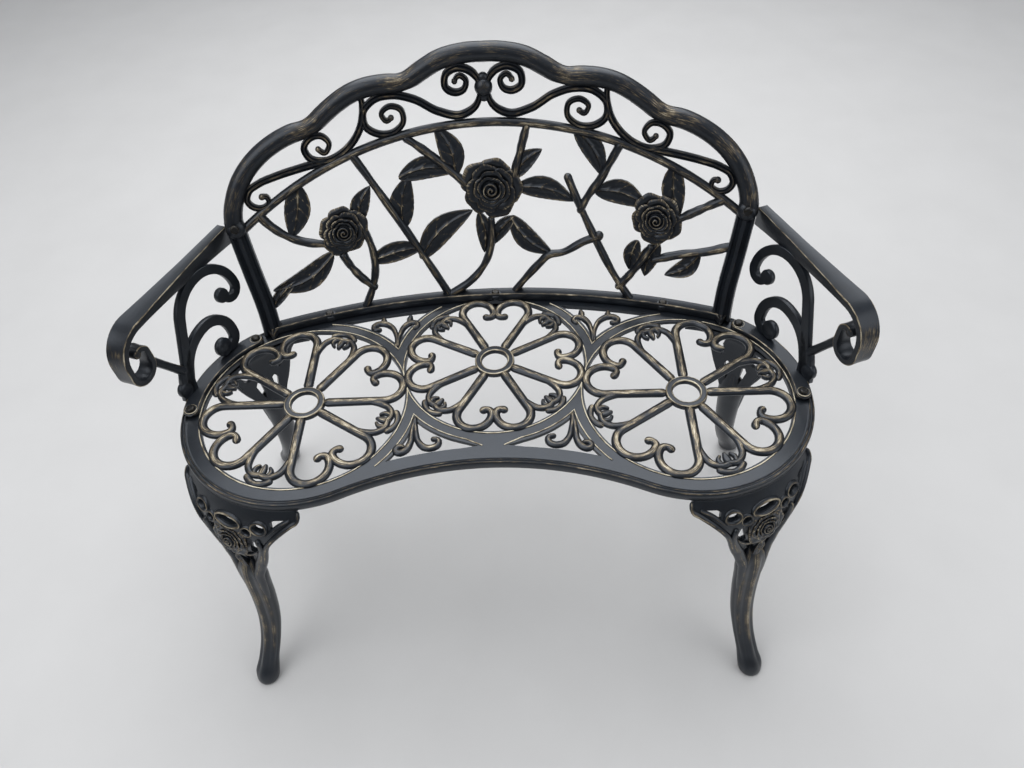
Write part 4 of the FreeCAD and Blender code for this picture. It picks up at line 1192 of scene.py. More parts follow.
@dataclass
class Back:
    """Back rest: lobed rail on two posts, scrolls over an inner rail, and rose stems below.

    Lines of the right-hand half, and all stems, leaves and roses, are drawn as across from the middle and up
    from the seat. Scrolls end with the radius of their bud. Leaves list base, tip, width and bow; roses list
    centre, radius and turn.
    """

    seat: Seat
    lean: float = 13.86
    foot_y: float = 151.0
    foot_radius: float = 840.0
    top_radius: float = 1520.0
    rise: float = 366.0
    rail: float = 25.0
    notches: tuple[float, float] = (112.0, 253.0)
    crest: Knots = ((0, 359.5), (30, 358.4), (60, 352), (84, 340.5), (103, 330.5), (119, 326.5), (136, 326.5),
                    (160, 325), (185, 319), (206, 309), (226, 296.5), (243, 285), (258, 279.5), (276, 276),
                    (300, 267.5), (323, 255), (343, 239), (358, 221), (368, 202), (374, 184), (376, 164))
    post: Knots = ((376, 176), (370, 130), (364, 90), (357.5, 50), (353, 2))
    post_width: float = 26.0
    inner_radius: float = 664.0
    inner_top: float = 268.0
    inner_sweep: float = 33.4
    inner_width: float = 12.5
    boss: tuple[float, float, float] = (374.0, 163.0, 7.5)
    boss_radius: float = 13.0
    scroll_lines: Sequence[tuple[Knots, float]] = (
        (((6, 322), (16.6, 335.6), (34.6, 341), (52, 332.5), (53, 316.5), (39.2, 309.3), (27.3, 313.4),
          (24, 324.5), (33, 331), (40, 324)), 4.4),
        (((5, 309), (11, 292.5), (34, 279.3), (66.5, 286), (99, 304), (127, 311.3), (154.5, 308), (172, 292),
          (171, 273.3), (155.4, 262.3), (131, 263), (117, 276.4), (119, 291.6), (135, 297.2), (147, 288),
          (141, 278.5), (134, 282)), 4.4),
        (((172, 310), (177, 277), (192, 255), (212.5, 240), (237, 233.7), (256, 240.7), (261, 256),
          (250.4, 267), (234.7, 268), (225.6, 256), (234, 245), (242, 251)), 4.2),
        (((236, 233), (277, 228), (308, 223), (333, 217), (347, 209.5), (351.5, 197.5), (344.5, 187),
          (332, 184), (323, 190), (325, 198), (331, 199)), 4.8))
    scroll_widths: Sequence[float] = (8.0, 11.0, 10.0, 7.6, 7.0)
    scroll_shares: Sequence[float] = (0.0, 0.1, 0.65, 0.9, 1.0)
    knob_height: float = 315.0
    knob_radius: float = 13.0
    collar_offset: float = 12.0
    collar_radius: float = 7.5
    stems: Sequence[Knots] = (
        ((-340, 174), (-305, 135), (-250, 114)), ((-232, 92), (-217, 62), (-193, 34)),
        ((-203, 140), (-187, 90), (-211, 4)), ((-196, 236), (-134, 120), (-76, 4)),
        ((-116, 252), (-74, 218), (-36, 182)), ((0, 125), (-19, 46), (-76, 4)),
        ((38, 190), (47, 222), (59, 262)), ((166, 100), (146, 92), (109, 71), (87, 66), (74, 53), (32, 4)),
        ((118, 188), (134, 150.5), (159, 98.5), (196, 32), (217, 4)),
        ((137, 140), (147, 159.6), (165.4, 186), (181, 215), (192, 236)),
        ((280, 136), (308, 153), (340, 172)), ((244, 90), (224, 56), (198, 22)),
        ((356, 109), (324, 95), (296, 87.5), (250, 71)))
    stem_width: float = 12.2
    knot: tuple[float, float] = (166.0, 102.0)
    knot_radius: float = 7.0
    leaves: Sequence[tuple[float, float, float, float, float, float]] = (
        (-280, 208, -302, 132, 35, 0.05), (-246, 98, -342, 62, 33, 0.13), (-350, 36, -306, 70, 16, 0.06),
        (-203, 138, -178, 190, 26, 0.10), (-136, 122, -119, 200, 35, 0.08), (-134, 198, -46, 200, 30, 0.12),
        (-50, 192, -74, 266, 34, -0.12), (-116, 70, -28, 140, 37, 0.10), (-192, 76, -106, 88, 28, 0.05),
        (-18, 136, -14, 72, 23, 0.08), (34, 128, 0, 84, 21, -0.08), (36, 188, 80, 228, 25, 0.10),
        (40, 174, 128, 153, 30, 0.10), (30, 128, 94, 68, 31, -0.10), (128, 258, 170, 190, 29, 0.10),
        (158, 170, 236, 150, 33, 0.12), (270, 214, 281, 138, 31, -0.05), (224, 98, 213, 52, 23, -0.06),
        (256, 96, 237, 44, 26, -0.10), (316, 90, 267, 50, 24, 0.10))
    leaf_lift: float = 0.5
    leaf_gold: float = 0.62
    roses: Sequence[tuple[float, float, float, float]] = (
        (-226, 131, 37, 20), (3, 174, 46, 75), (250, 135, 38, 50))
    rose_rise: float = 17.0
    rose_gold: float = 0.56
    foot_reach: float = 358.0
    lobe_start: float = 337.0
    foot_strip: Moulding = (
        (4.0, 0.2, 0.0), (4.0, 6.8, 0.1), (2.8, 8.0, 0.4), (1.6, 8.0, 0.0), (-13.0, 8.0, 0.0),
        (-14.2, 9.0, 0.1), (-14.8, 11.4, 0.45), (-16.0, 12.0, 0.55), (-17.4, 11.2, 0.4), (-18.0, 9.0, 0.0),
        (-18.0, 0.2, 0.0))
    bolts: Sequence[float] = (-266.0, 0.0, 266.0)
    bolt_inset: float = 10.0
    pad_radius: float = 10.0
    middle_pad_gold: float = 0.3
    tongue: Knots = ((352.0, 84.0), (351.0, 72.0), (349.0, 60.0))
    tongue_widths: Sequence[float] = (24.0, 18.0, 5.0)

    def place(self, flat: Array) -> Array:
        """Bend a flat drawing of the back on to its leaning, curved sheet.

        Args:
            flat: Points across, up and out from the sheet.

        Returns:
            Points of the bench.
        """
        x, h, w = flat[:, 0], flat[:, 1], flat[:, 2]
        grow = (self.top_radius - self.foot_radius) / self.rise
        radius = self.foot_radius + grow * h
        root = np.sqrt(radius ** 2 - x ** 2)
        slope = math.tan(math.radians(self.lean))
        y = self.foot_y + slope * h - (radius - root)
        normal = np.stack([-x / root, -np.ones_like(x), slope - grow * (1 - radius / root)], 1)
        normal /= np.linalg.norm(normal, axis=1, keepdims=True)
        return np.stack([x, y, h + self.seat.height], 1) + normal * w[:, None]

    def frame_bars(self, cast: Casting) -> None:
        """Cast the lobed top rail, the posts, the inner rail and the bosses for the arm bolts.

        Args:
            cast: Casting to add to.
        """
        right = curve(self.crest, 4.0)
        line = np.concatenate([flipped(right)[::-1], right[1:]])
        notch = np.minimum(*[np.abs(np.abs(line[:, 0]) - x) for x in self.notches])
        gold = 0.31 + 0.10 * bump(notch, 18.0)
        thick = self.rail + 1.2 - 2.4 * bump(notch, 12.0)
        cast.bar(line, thick, thick / 2, thick / 2, self.place, Section.PIPE, gold)
        post = curve(self.post, 8.0)
        for path in (post, flipped(post)):
            cast.bar(path, self.post_width, high=10.0, low=8.0, place=self.place, section=Section.REEDED,
                     gold=0.24, tips=False)
        a = np.radians(np.linspace(-self.inner_sweep, self.inner_sweep, 150))
        drop = self.inner_radius * (1 - np.cos(a))
        inner = np.stack([self.inner_radius * np.sin(a), self.inner_top - drop], 1)
        cast.bar(inner, self.inner_width, high=7.0, low=5.0, place=self.place, section=Section.ROUND,
                 gold=0.5, tips=False)
        x, y, z = self.boss
        for side in (1, -1):
            cast.ball(side * x, y, z, self.boss_radius, self.place, gold=0.3, squash=0.5)

    def scrolls(self, cast: Casting) -> None:
        """Cast the scrolls between the inner rail and the top rail, and the knob with its collars.

        Args:
            cast: Casting to add to.
        """
        for knots, bud in self.scroll_lines:
            path = curve(knots, 2.5)
            width = taper(path, self.scroll_widths, self.scroll_shares)
            for drawn in (path, flipped(path)):
                cast.bar(drawn, width, high=6.2, low=4.6, place=self.place, section=Section.REEDED, gold=0.4)
                cast.ball(*drawn[-1], z=0.8, radius=bud, place=self.place, gold=0.5)
        cast.ball(0.0, self.knob_height, 1.0, self.knob_radius, self.place, gold=0.35, squash=0.85)
        for side in (-1, 1):
            height = self.knob_height + side * self.collar_offset
            cast.ball(0.0, height, 0.5, self.collar_radius, self.place, gold=0.3, squash=0.8)

    def vines(self, cast: Casting) -> None:
        """Cast the stems, of uneven width, with their knot, and the leaves.

        Args:
            cast: Casting to add to.
        """
        for index, stem in enumerate(self.stems):
            path = curve(stem, 3.5)
            run = np.linspace(0, 6.0, len(path))
            width = self.stem_width + 0.9 * np.sin(run * 1.9 + index) + 0.6 * np.sin(run * 4.3 + 2 * index)
            gold = 0.46 + 0.1 * np.sin(run * 2.6 + index)
            cast.bar(path, width, high=width * 0.62, low=4.6, place=self.place, section=Section.ROUND,
                     gold=gold)
        cast.ball(*self.knot, z=2.0, radius=self.knot_radius, place=self.place, gold=0.5)
        for *ends, width, bow in self.leaves:
            cast.leaf(ends[:2], ends[2:], width, self.place, self.leaf_lift, bow, self.leaf_gold)

    def foot_rail(self, cast: Casting) -> None:
        """Cast the flange that sits on the seat's rear rim, with its lip, bolt pads and post tongues.

        Args:
            cast: Casting to add to.
        """
        seat = self.seat
        x = np.linspace(-self.foot_reach, self.foot_reach, 140)
        edge = seat.rear_edge(np.clip(x, -self.lobe_start, self.lobe_start), 0.0)
        lobe = np.sqrt(np.maximum(seat.lobe ** 2 - (np.abs(x) - seat.hub_x) ** 2, 0)) - seat.hub_forward
        path = np.stack([x, np.where(np.abs(x) < self.lobe_start, edge, lobe)], 1)
        cast.band(path, self.foot_strip, seat.place, False)
        for bolt in self.bolts:
            y = float(seat.rear_edge(np.array([bolt]), self.bolt_inset)[0])
            glint = 0.0 if bolt else self.middle_pad_gold
            pad = ((0.0, 0.4, 0.0), (0.0, 7.0, 0.0), (0.8, 8.1, glint), (1.8, 8.3, 0.0), (6.4, 8.3, 0.0),
                   (6.4, 0.4, 0.0))
            cast.band(circle(bolt, y, self.pad_radius, 40), pad, seat.place)
        tongue = curve(self.tongue, 3.0)
        for path in (tongue, flipped(tongue)):
            cast.bar(path, taper(path, self.tongue_widths), high=7.0, low=5.0, place=seat.place,
                     section=Section.REEDED, gold=0.5, level=6.0)

    def build(self) -> Casting:
        """Cast the whole back.

        Returns:
            The casting.
        """
        cast = Casting("back")
        self.frame_bars(cast)
        self.scrolls(cast)
        self.vines(cast)
        for x, h, radius, spin in self.roses:
            cast.rose(x, h, radius, self.rose_rise, self.place, self.rose_gold, spin)
        self.foot_rail(cast)
        return cast


@dataclass(frozen=True)
class CScroll:
    """One C-scroll of an arm: its start, heading and steps, its widest width and its end button's radius."""

    x: float
    z: float
    heading: float
    steps: Steps
    width: float
    button: float


@dataclass
class Arm:
    """Right-hand arm: strap with a scrolled end, two C-scrolls, a link and a foot flange.

    The strap is drawn as forward and up from its start at the post, the C-scrolls as rearward and up from
    the rim. The pin and the eye of the lug list the radius, height and gold of their circles.
    """

    seat: Seat
    back: Back
    height: float = 160.0
    start: tuple[float, float] = (398.0, 135.0)
    splay: float = 20.0
    length: float = 211.5
    yaw: float = 24.8
    tilt: float = 8.6
    rim_inset: float = 15.0
    roll: Steps = ((44.0, -90), (18.0, 0), (19.5, -180), (16.0, 0), (9.0, -130))
    width_marks: Sequence[float] = (0.0, 95.0, 165.0)
    roll_mark: float = 1.4
    half_widths: Sequence[float] = (7.5, 9.5, 13.0, 16.0, 13.5, 9.0)
    depth_marks: Sequence[float] = (0.0, 60.0, 200.0, 250.0)
    depths: Sequence[float] = (30.0, 23.0, 10.5, 9.0, 8.0)
    crown: float = 4.8
    edge_gold: float = 0.75
    wear: float = 0.36
    wear_ahead: float = 62.0
    wear_spread: float = 46.0
    strap_shape: Moulding = (
        (1.0, -0.94, 0.0), (1.0, 0.6, 0.1), (0.985, 0.85, 0.9), (0.94, 1.0, 1.0), (0.87, 0.98, 0.1),
        (0.4, 0.92, 0.0), (0.0, 0.9, 0.0), (-0.4, 0.92, 0.0), (-0.87, 0.98, 0.0), (-0.94, 1.0, 0.5),
        (-0.985, 0.85, 0.5), (-1.0, 0.6, 0.0), (-1.0, -0.94, 0.0), (-0.95, -1.0, 0.2), (0.95, -1.0, 0.2))
    pin: Moulding = ((1.4, -9.4, 0.184), (5.25, -9.118, 0.47), (6.65, -8.46, 0.053), (7.0, -3.76, 0.0),
                     (7.0, 0.0, 0.0), (7.0, 3.76, 0.0), (6.65, 8.46, 0.053), (5.25, 9.118, 0.47),
                     (1.4, 9.4, 0.184))
    pairs: Sequence[CScroll] = (
        CScroll(-54.0, 8.0, 60.0, ((36.6, 0), (66.6, -60), (37.0, -90), (6.0, 0), (15.0, -150)), 16.5, 14.5),
        CScroll(-57.0, 4.0, 64.0, ((111.8, 0), (66.7, -64), (51.0, -90), (15.0, -175)), 14.5, 11.5))
    bulb: tuple[float, float, float] = (-57.0, 17.0, 13.0)
    foot: Knots = ((-56.0, 1.0), (-50.0, 22.0), (-38.0, 48.0))
    foot_widths: Sequence[float] = (28.0, 24.0, 18.0)
    link_ahead: float = 5.0
    link_drop: float = 66.0
    link_foot: tuple[float, float] = (-45.0, 43.0)
    link_radius: float = 7.0
    heel: tuple[float, float] = (10.0, -8.0)
    heel_radius: float = 4.6
    lug: tuple[float, float] = (376.0, 166.0)
    lug_depth: float = -19.5
    lug_eye: Moulding = ((8.0, -15.0, 0.15), (9.4, -15.3, 0.15), (9.4, -23.5, 0.15), (8.0, -24.0, 0.15))
    flange_sweep: tuple[float, float] = (-4.5, 52.5)
    flange_width: float = 22.0
    pad_radius: float = 9.6
    pad: Moulding = ((0.0, 0.4, 0.1), (0.0, 6.0, 0.3), (0.8, 7.2, 0.9), (1.8, 7.3, 0.3), (6.0, 7.3, 0.1),
                     (6.0, 0.4, 0.0))

    def strap_place(self, flat: Array) -> Array:
        """Stand a drawing of the strap along the arm: forward, up, and inwards.

        Args:
            flat: Points forward, up and inwards.

        Returns:
            Points of the bench.
        """
        ahead = np.array([*polar(1.0, self.splay - 90.0), 0.0])
        inward = np.cross(ahead, UP)
        origin = np.array([*self.start, self.seat.height + self.height])
        return origin + flat[:, :1] * ahead + flat[:, 1:2] * UP + flat[:, 2:] * inward

    def scroll_place(self, flat: Array) -> Array:
        """Stand a drawing of the C-scrolls on the rim: rearward, up, and outwards.

        Args:
            flat: Points rearward, up and outwards.

        Returns:
            Points of the bench.
        """
        outward = np.array([*polar(1.0, self.yaw), 0.0])
        rearward = np.array([*polar(1.0, 90.0 + self.yaw), 0.0])
        lean = math.radians(self.tilt)
        upward = UP * math.cos(lean) + outward * math.sin(lean)
        facing = np.cross(rearward, upward)
        x, y = polar(self.seat.lobe - self.rim_inset, self.yaw)
        origin = np.array([self.seat.hub_x + x, y - self.seat.hub_forward, self.seat.height])
        return origin + flat[:, :1] * rearward + flat[:, 1:2] * upward + flat[:, 2:] * facing

    def strap(self, cast: Casting) -> None:
        """Cast the strap, deep at the post and rolled at the front, and the pin in its roll.

        Args:
            cast: Casting to add to.
        """
        path = trail(0, 0, 0, ((self.length, 0), *self.roll))
        run = np.concatenate([[0.0], np.cumsum(np.linalg.norm(np.diff(path, axis=0), axis=1))])
        marks = (*self.width_marks, self.length, self.length * self.roll_mark, run[-1])
        half = np.interp(run, marks, self.half_widths)[:, None]
        deep = np.interp(run, (*self.depth_marks, run[-1]), self.depths)[:, None]
        across, up, gold = np.array(self.strap_shape).T[:, None, :]
        rise = up * np.where(up > 0, self.crown, deep - self.crown)
        flat = path[:, None, :] + leftward(headings(path))[:, None, :] * rise[..., None]
        rings = np.concatenate([flat, (across * half)[..., None]], 2)
        worn = self.wear * bump(run - self.length - self.wear_ahead, self.wear_spread)[:, None] * (up > 0.8)
        cast.loft(rings, np.maximum(gold * self.edge_gold, worn), self.strap_place)
        cast.spool(*path[-1], self.pin, 24, self.strap_place)

    def c_scrolls(self, cast: Casting) -> None:
        """Cast the two C-scrolls, their end buttons, and the bulb and stem at the foot.

        Args:
            cast: Casting to add to.
        """
        for scroll in self.pairs:
            path = trail(scroll.x, scroll.z, scroll.heading, scroll.steps)
            width = taper(path, (14.0, scroll.width, scroll.width - 2.0, 11.0), (0, 0.6, 0.85, 1.0))
            cast.bar(path, width, high=4.6, low=4.6, place=self.scroll_place, section=Section.FLAT, gold=0.55)
            cast.button(*path[-1], scroll.button, half=4.9, place=self.scroll_place, gold=0.5)
        cast.button(*self.bulb, half=4.8, place=self.scroll_place, gold=0.4)
        foot = curve(self.foot, 4.0)
        cast.bar(foot, taper(foot, self.foot_widths), high=4.3, low=4.3, place=self.scroll_place,
                 section=Section.FLAT, gold=0.2, tips=False)

    def link(self, cast: Casting) -> None:
        """Cast the short bar between the strap's roll and the C-scrolls, and the lug at the post.

        Args:
            cast: Casting to add to.
        """
        ends = np.array([[self.length + self.link_ahead, -self.link_drop, 0.0], [*self.heel, 0.0]])
        roll, heel = self.strap_place(ends)
        foot = self.scroll_place(np.array([[*self.link_foot, 0.0]]))[0]
        lug = self.back.place(np.array([[*self.lug, self.lug_depth]]))[0]
        cast.rod(roll, foot, self.link_radius)
        cast.rod(heel, lug, self.heel_radius)
        cast.spool(*self.lug, self.lug_eye, 28, self.back.place)

    def flange(self, cast: Casting) -> None:
        """Cast the curved foot that is bolted to the rim.

        Args:
            cast: Casting to add to.
        """
        seat = self.seat
        angle = np.radians(np.linspace(*self.flange_sweep, 40))
        radius = seat.lobe - self.rim_inset
        path = np.stack([seat.hub_x + radius * np.cos(angle), radius * np.sin(angle) - seat.hub_forward], 1)
        cast.bar(path, self.flange_width, high=4.0, low=2.8, place=seat.place, section=Section.FLAT,
                 gold=0.55, level=3.0)
        for x, y in (path[0], path[-1]):
            cast.band(circle(x, y, self.pad_radius, 40), self.pad, seat.place)

    def build(self) -> Casting:
        """Cast the whole arm.

        Returns:
            The casting.
        """
        cast = Casting("right_arm")
        self.strap(cast)
        self.c_scrolls(cast)
        self.link(cast)
        self.flange(cast)
        return cast


class Swing(Enum):
    """Where a right-hand leg stands round its hub, in degrees from the right."""

    FRONT = -64.0
    REAR = 51.0


@dataclass(frozen=True)
class Eye:
    """Oval hole in a knee wall with a raised ring round it: half width and half height of each."""

    x: float
    z: float
    hole: tuple[float, float]
    hole_points: int
    ring: tuple[float, float]
    ring_points: int
    width: float
    high: float
    gold: float

    def opening(self, side: int) -> Array:
        """Draw the hole on one side of the wall."""
        return oval(side * self.x, self.z, *self.hole, self.hole_points)

    def cast_ring(self, cast: Casting, side: int, place: Place) -> None:
        """Cast the ring on one side of the wall."""
        line = oval(side * self.x, self.z, *self.ring, self.ring_points)
        cast.bar(line, self.width, self.high, 2.0, place, Section.ROUND, self.gold, level=0.2, closed=True)


@dataclass(frozen=True)
class Brace:
    """A strand of a knee wall: knots across and up, widths, gold, and whether it runs on down the shank."""

    knots: Knots
    widths: Sequence[float]
    gold: float
    joins: bool = False


@dataclass
class Leg:
    """Right-hand leg: flange and openwork knee wall under the rim, rose on the knee, fluted cabriole shank.

    Stations of the shank list height, distance from the hub, width and depth. Flutes list angle from the
    front, width of the ridge or groove, and its rise as a share of the radius; crests list angle, width and
    gold. The flutes start, are full, fade and end at the heights in fluted.
    """

    seat: Seat
    swing: Swing
    stations: Sequence[tuple[float, float, float, float]] = (
        (282.0, 192.0, 14.0, 6.0), (270.0, 194.0, 26.0, 17.0), (257.0, 195.6, 40.0, 27.0),
        (244.0, 196.0, 45.0, 32.0), (208.0, 198.9, 41.0, 33.0), (168.0, 203.2, 38.0, 32.5),
        (112.0, 214.0, 34.5, 31.0), (70.0, 230.6, 32.0, 30.0), (36.0, 250.7, 33.0, 32.0),
        (14.0, 264.0, 39.0, 36.5), (4.0, 267.2, 37.0, 35.5), (0.0, 268.0, 30.0, 30.0))
    flutes: Moulding = ((0.0, 0.20, 0.13), (0.48, 0.16, -0.10), (0.92, 0.20, 0.07), (1.40, 0.18, -0.05))
    crests: Moulding = ((0.0, 0.22, 0.32), (0.92, 0.20, 0.192))
    fluted: Sequence[float] = (4.0, 44.0, 246.0, 266.0)
    brushed: Sequence[float] = (26.0, 86.0)
    shank_gold: float = 0.24
    flange_sweep: float = 30.0
    flange_inset: float = 14.5
    flange_width: float = 27.0
    flange_height: float = 392.5
    drawn_at: float = 190.0
    wall_top: float = 396.0
    wall_half: float = 98.0
    wall_depth: float = 7.0
    wall_radius: float = 176.0
    wall_inset: float = 1.0
    bulge: float = 23.0
    bulge_drop: float = 56.0
    retreat: float = 4.0
    retreat_drop: float = 78.0
    edge: Knots = ((102, 396), (106, 390), (103, 382), (94, 377.5), (80, 368.5), (66, 356), (55, 341),
                   (48, 324), (43, 307), (37, 289), (28, 267), (20, 247))
    edge_widths: Sequence[float] = (6.0, 7.0, 8.0, 7.0, 4.0)
    windows: Sequence[Knots] = (
        ((65, 380), (71, 383), (91, 383.4), (83, 377.5), (73, 370.5), (66.5, 368)),
        ((26, 352), (33, 353), (38, 345), (39, 332), (35, 320), (28, 314), (24, 316), (30, 336)),
        ((11, 300), (16, 303), (20, 296), (17, 280), (12, 262), (10, 272)))
    middle_eye: Eye = Eye(0.0, 371.0, (16.0, 5.4), 28, (20.5, 8.6), 40, 5.2, 3.2, 0.75)
    side_eyes: Sequence[Eye] = (Eye(48.5, 371.0, (8.6, 6.0), 24, (11.2, 8.4), 40, 5.0, 2.8, 0.6),
                                Eye(30.0, 363.0, (5.6, 4.6), 20, (7.8, 6.8), 30, 4.0, 2.6, 0.5))
    braces: Sequence[Brace] = (
        Brace(((58, 362), (68, 371), (80, 379), (92, 384)), (3.0, 4.0, 3.0), 0.4),
        Brace(((44, 348), (44.5, 330), (39.5, 312), (31.5, 290), (23.5, 268), (16.5, 246), (15, 224),
               (14.2, 200), (13.6, 172)), (7.5, 10.0, 13.0, 16.0, 16.0, 15.0, 12.5, 9.0, 4.0), 0.42, True),
        Brace(((0.5, 312), (0.5, 290), (0.5, 268), (0.5, 246), (0.5, 220)), (17.0, 15.0, 16.0, 14.0, 8.0),
              0.4, True),
        Brace(((0, 299), (14, 301.5), (26, 309), (36, 321)), (5.0, 5.0, 3.0), 0.6))
    brace_level: float = 0.2
    climb: Knots = ((172, 27.0), (200, 21.0), (224, 15.4), (246, 10.2), (268, 3.5), (290, 0.2))
    rose_out: float = 196.5
    rose_height: float = 336.0
    rose_radius: float = 29.5
    rose_rise: float = 9.5
    rose_tip: float = 14.0

    def place(self, flat: Array) -> Array:
        """Swing a drawing made with X outwards from the hub into the leg's place.

        Args:
            flat: Points outwards from the hub, sideways and up.

        Returns:
            Points of the bench.
        """
        c, s = polar(1.0, self.swing.value)
        x = self.seat.hub_x + flat[:, 0] * c - flat[:, 1] * s
        y = -self.seat.hub_forward + flat[:, 0] * s + flat[:, 1] * c
        return np.stack([x, y, flat[:, 2]], 1)

    def wall_place(self, flat: Array) -> Array:
        """Wrap a drawing of the knee wall, across and up, round its bulge.

        Args:
            flat: Points across, up and out from the wall.

        Returns:
            Points of the bench.
        """
        drop = np.clip(self.wall_top - flat[:, 1], 0.0, None)
        swell = self.wall_radius + self.bulge * np.sin(drop / self.bulge_drop * math.pi / 2)
        below = self.retreat * ((drop - self.bulge_drop) / self.retreat_drop) ** 2
        wall = np.where(drop < self.bulge_drop, swell, self.wall_radius + self.bulge - below)
        radius = wall - self.wall_inset + flat[:, 2]
        swing = flat[:, 0] / self.drawn_at
        return self.place(np.stack([radius * np.cos(swing), radius * np.sin(swing), flat[:, 1]], 1))

    def knee_place(self, flat: Array) -> Array:
        """Stand a drawing of the rose on the knee, tipped up a little.

        Args:
            flat: Points across, up and out from the rose's foot.

        Returns:
            Points of the bench.
        """
        c, s = polar(1.0, self.rose_tip)
        out = self.rose_out + flat[:, 2] * c - flat[:, 1] * s
        return self.place(np.stack([out, flat[:, 0], self.rose_height + flat[:, 1] * c + flat[:, 2] * s], 1))

    def shank(self, cast: Casting) -> None:
        """Cast the fluted shank and its hoof.

        Args:
            cast: Casting to add to.
        """
        height, out, wide, deep = curve(self.stations, 5.0).T[:, :, None]
        turn = turns(56)
        ahead = np.abs((turn + math.pi) % (2 * math.pi) - math.pi)
        fade = np.interp(height, self.fluted, (0, 1, 1, 0))
        swell = 1 + fade * sum(rise * bump(ahead - angle, width) for angle, width, rise in self.flutes)
        x, y = out + deep / 2 * np.cos(turn) * swell, wide / 2 * np.sin(turn) * swell
        gold = self.shank_gold + sum(tone * bump(ahead - angle, width) for angle, width, tone in self.crests)
        gold = gold * np.interp(height, self.brushed, (0, 1))
        cast.loft(np.stack([x, y, np.broadcast_to(height, x.shape)], 2), gold, self.place, stroke=4.0)

    def ridge(self, cast: Casting, path: Array, widths: Sequence[float], gold: float, joins: bool) -> None:
        """Cast one strand on the knee wall.

        Args:
            cast: Casting to add to.
            path: Line across and up.
            widths: Widths, evenly spread along the line.
            gold: Gold on the crest.
            joins: Whether the strand runs on down the shank, which stands out from the wall.
        """
        width = taper(path, widths)
        level = np.interp(path[:, 1], *np.array(self.climb).T) if joins else self.brace_level
        high, low = np.minimum(2.6 + width * 0.22, 6.0), np.clip(width - 3.0, 2.0, 6.5)
        cast.bar(path, width, high, low, self.wall_place, Section.ROUND, gold, level)

    def bracket(self, cast: Casting) -> None:
        """Cast the flange, and the knee wall with its openings, strands and rings.

        Args:
            cast: Casting to add to.
        """
        angle = np.radians(np.linspace(-self.flange_sweep, self.flange_sweep, 40))
        rim = (self.seat.lobe - self.flange_inset) * np.stack([np.cos(angle), np.sin(angle)], 1)
        cast.bar(rim, self.flange_width, high=3.4, low=3.4, place=self.place, section=Section.FLAT, gold=0.25,
                 level=self.flange_height, tips=False)
        edge = curve(self.edge, 3.5)
        top = np.stack([np.linspace(-self.wall_half, self.wall_half, 50), np.full(50, self.wall_top)], 1)
        loops = [np.concatenate([top, edge, flipped(edge)[::-1]]), self.middle_eye.opening(1)]
        for side in (1, -1):
            loops += [np.array(window, float) * np.array([side, 1.0]) for window in self.windows]
            loops += [eye.opening(side) for eye in self.side_eyes]
        cast.plate(loops, 0.0, -self.wall_depth, self.wall_place, fill=7.0)
        for side in (1, -1):
            hand = np.array([side, 1.0])
            self.ridge(cast, edge[2:] * hand, self.edge_widths, 0.5, False)
            for brace in self.braces:
                self.ridge(cast, curve(brace.knots, 3.0) * hand, brace.widths, brace.gold, brace.joins)
            for eye in self.side_eyes:
                eye.cast_ring(cast, side, self.wall_place)
        self.middle_eye.cast_ring(cast, 1, self.wall_place)

    def knee(self, cast: Casting) -> None:
        """Cast the rose on the knee and the small leaf under it.

        Args:
            cast: Casting to add to.
        """
        cast.leaf((0.0, 302.0), (0.0, 252.0), width=15.0, place=self.wall_place, lift=5.0, bend=0.0, gold=0.6)
        cast.rose(0.0, 0.0, self.rose_radius, self.rose_rise, self.knee_place, gold=0.5,
                  spin=self.swing.value)

    def build(self, name: str) -> Casting:
        """Cast the whole leg under a name.

        Args:
            name: Name of the casting.

        Returns:
            The casting.
        """
        cast = Casting(name)
        self.shank(cast)
        self.bracket(cast)
        self.knee(cast)
        return cast


@dataclass
class Fasteners:
    """Bolts, nuts, washers and screws, which show as the CAD solids themselves."""

    steel: bpy.types.Material

    def dress(self) -> None:
        """Give the steel finish to every node that isn't a casting."""
        for name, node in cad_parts.items():
            if not name.endswith("casting"):
                node.data.materials.clear()
                node.data.materials.append(self.steel)
                LOG.info("%s shows as modelled, in %s", name, self.steel.name)


@dataclass(frozen=True)
class Lamp:
    """A round, soft lamp: its place, the point that it faces, its width and its power."""

    name: str
    place: tuple[float, float, float]
    aim: tuple[float, float, float]
    size: float
    power: float


def stand(name: str, data: bpy.types.ID, axes: Sequence[Sequence[float]],
          spot: Sequence[float]) -> bpy.types.Object:
    """Put a lamp or a camera in the scene.

    Args:
        name: Name of the object.
        data: The lamp or camera.
        axes: Its three axes: right, up and back.
        spot: Its place.

    Returns:
        The object.
    """
    holder = bpy.data.objects.new(name, data)
    holder.matrix_world = Matrix([[*row, place] for row, place in zip(zip(*axes), spot)] + [[0, 0, 0, 1]])
    bpy.context.scene.collection.objects.link(holder)
    return holder


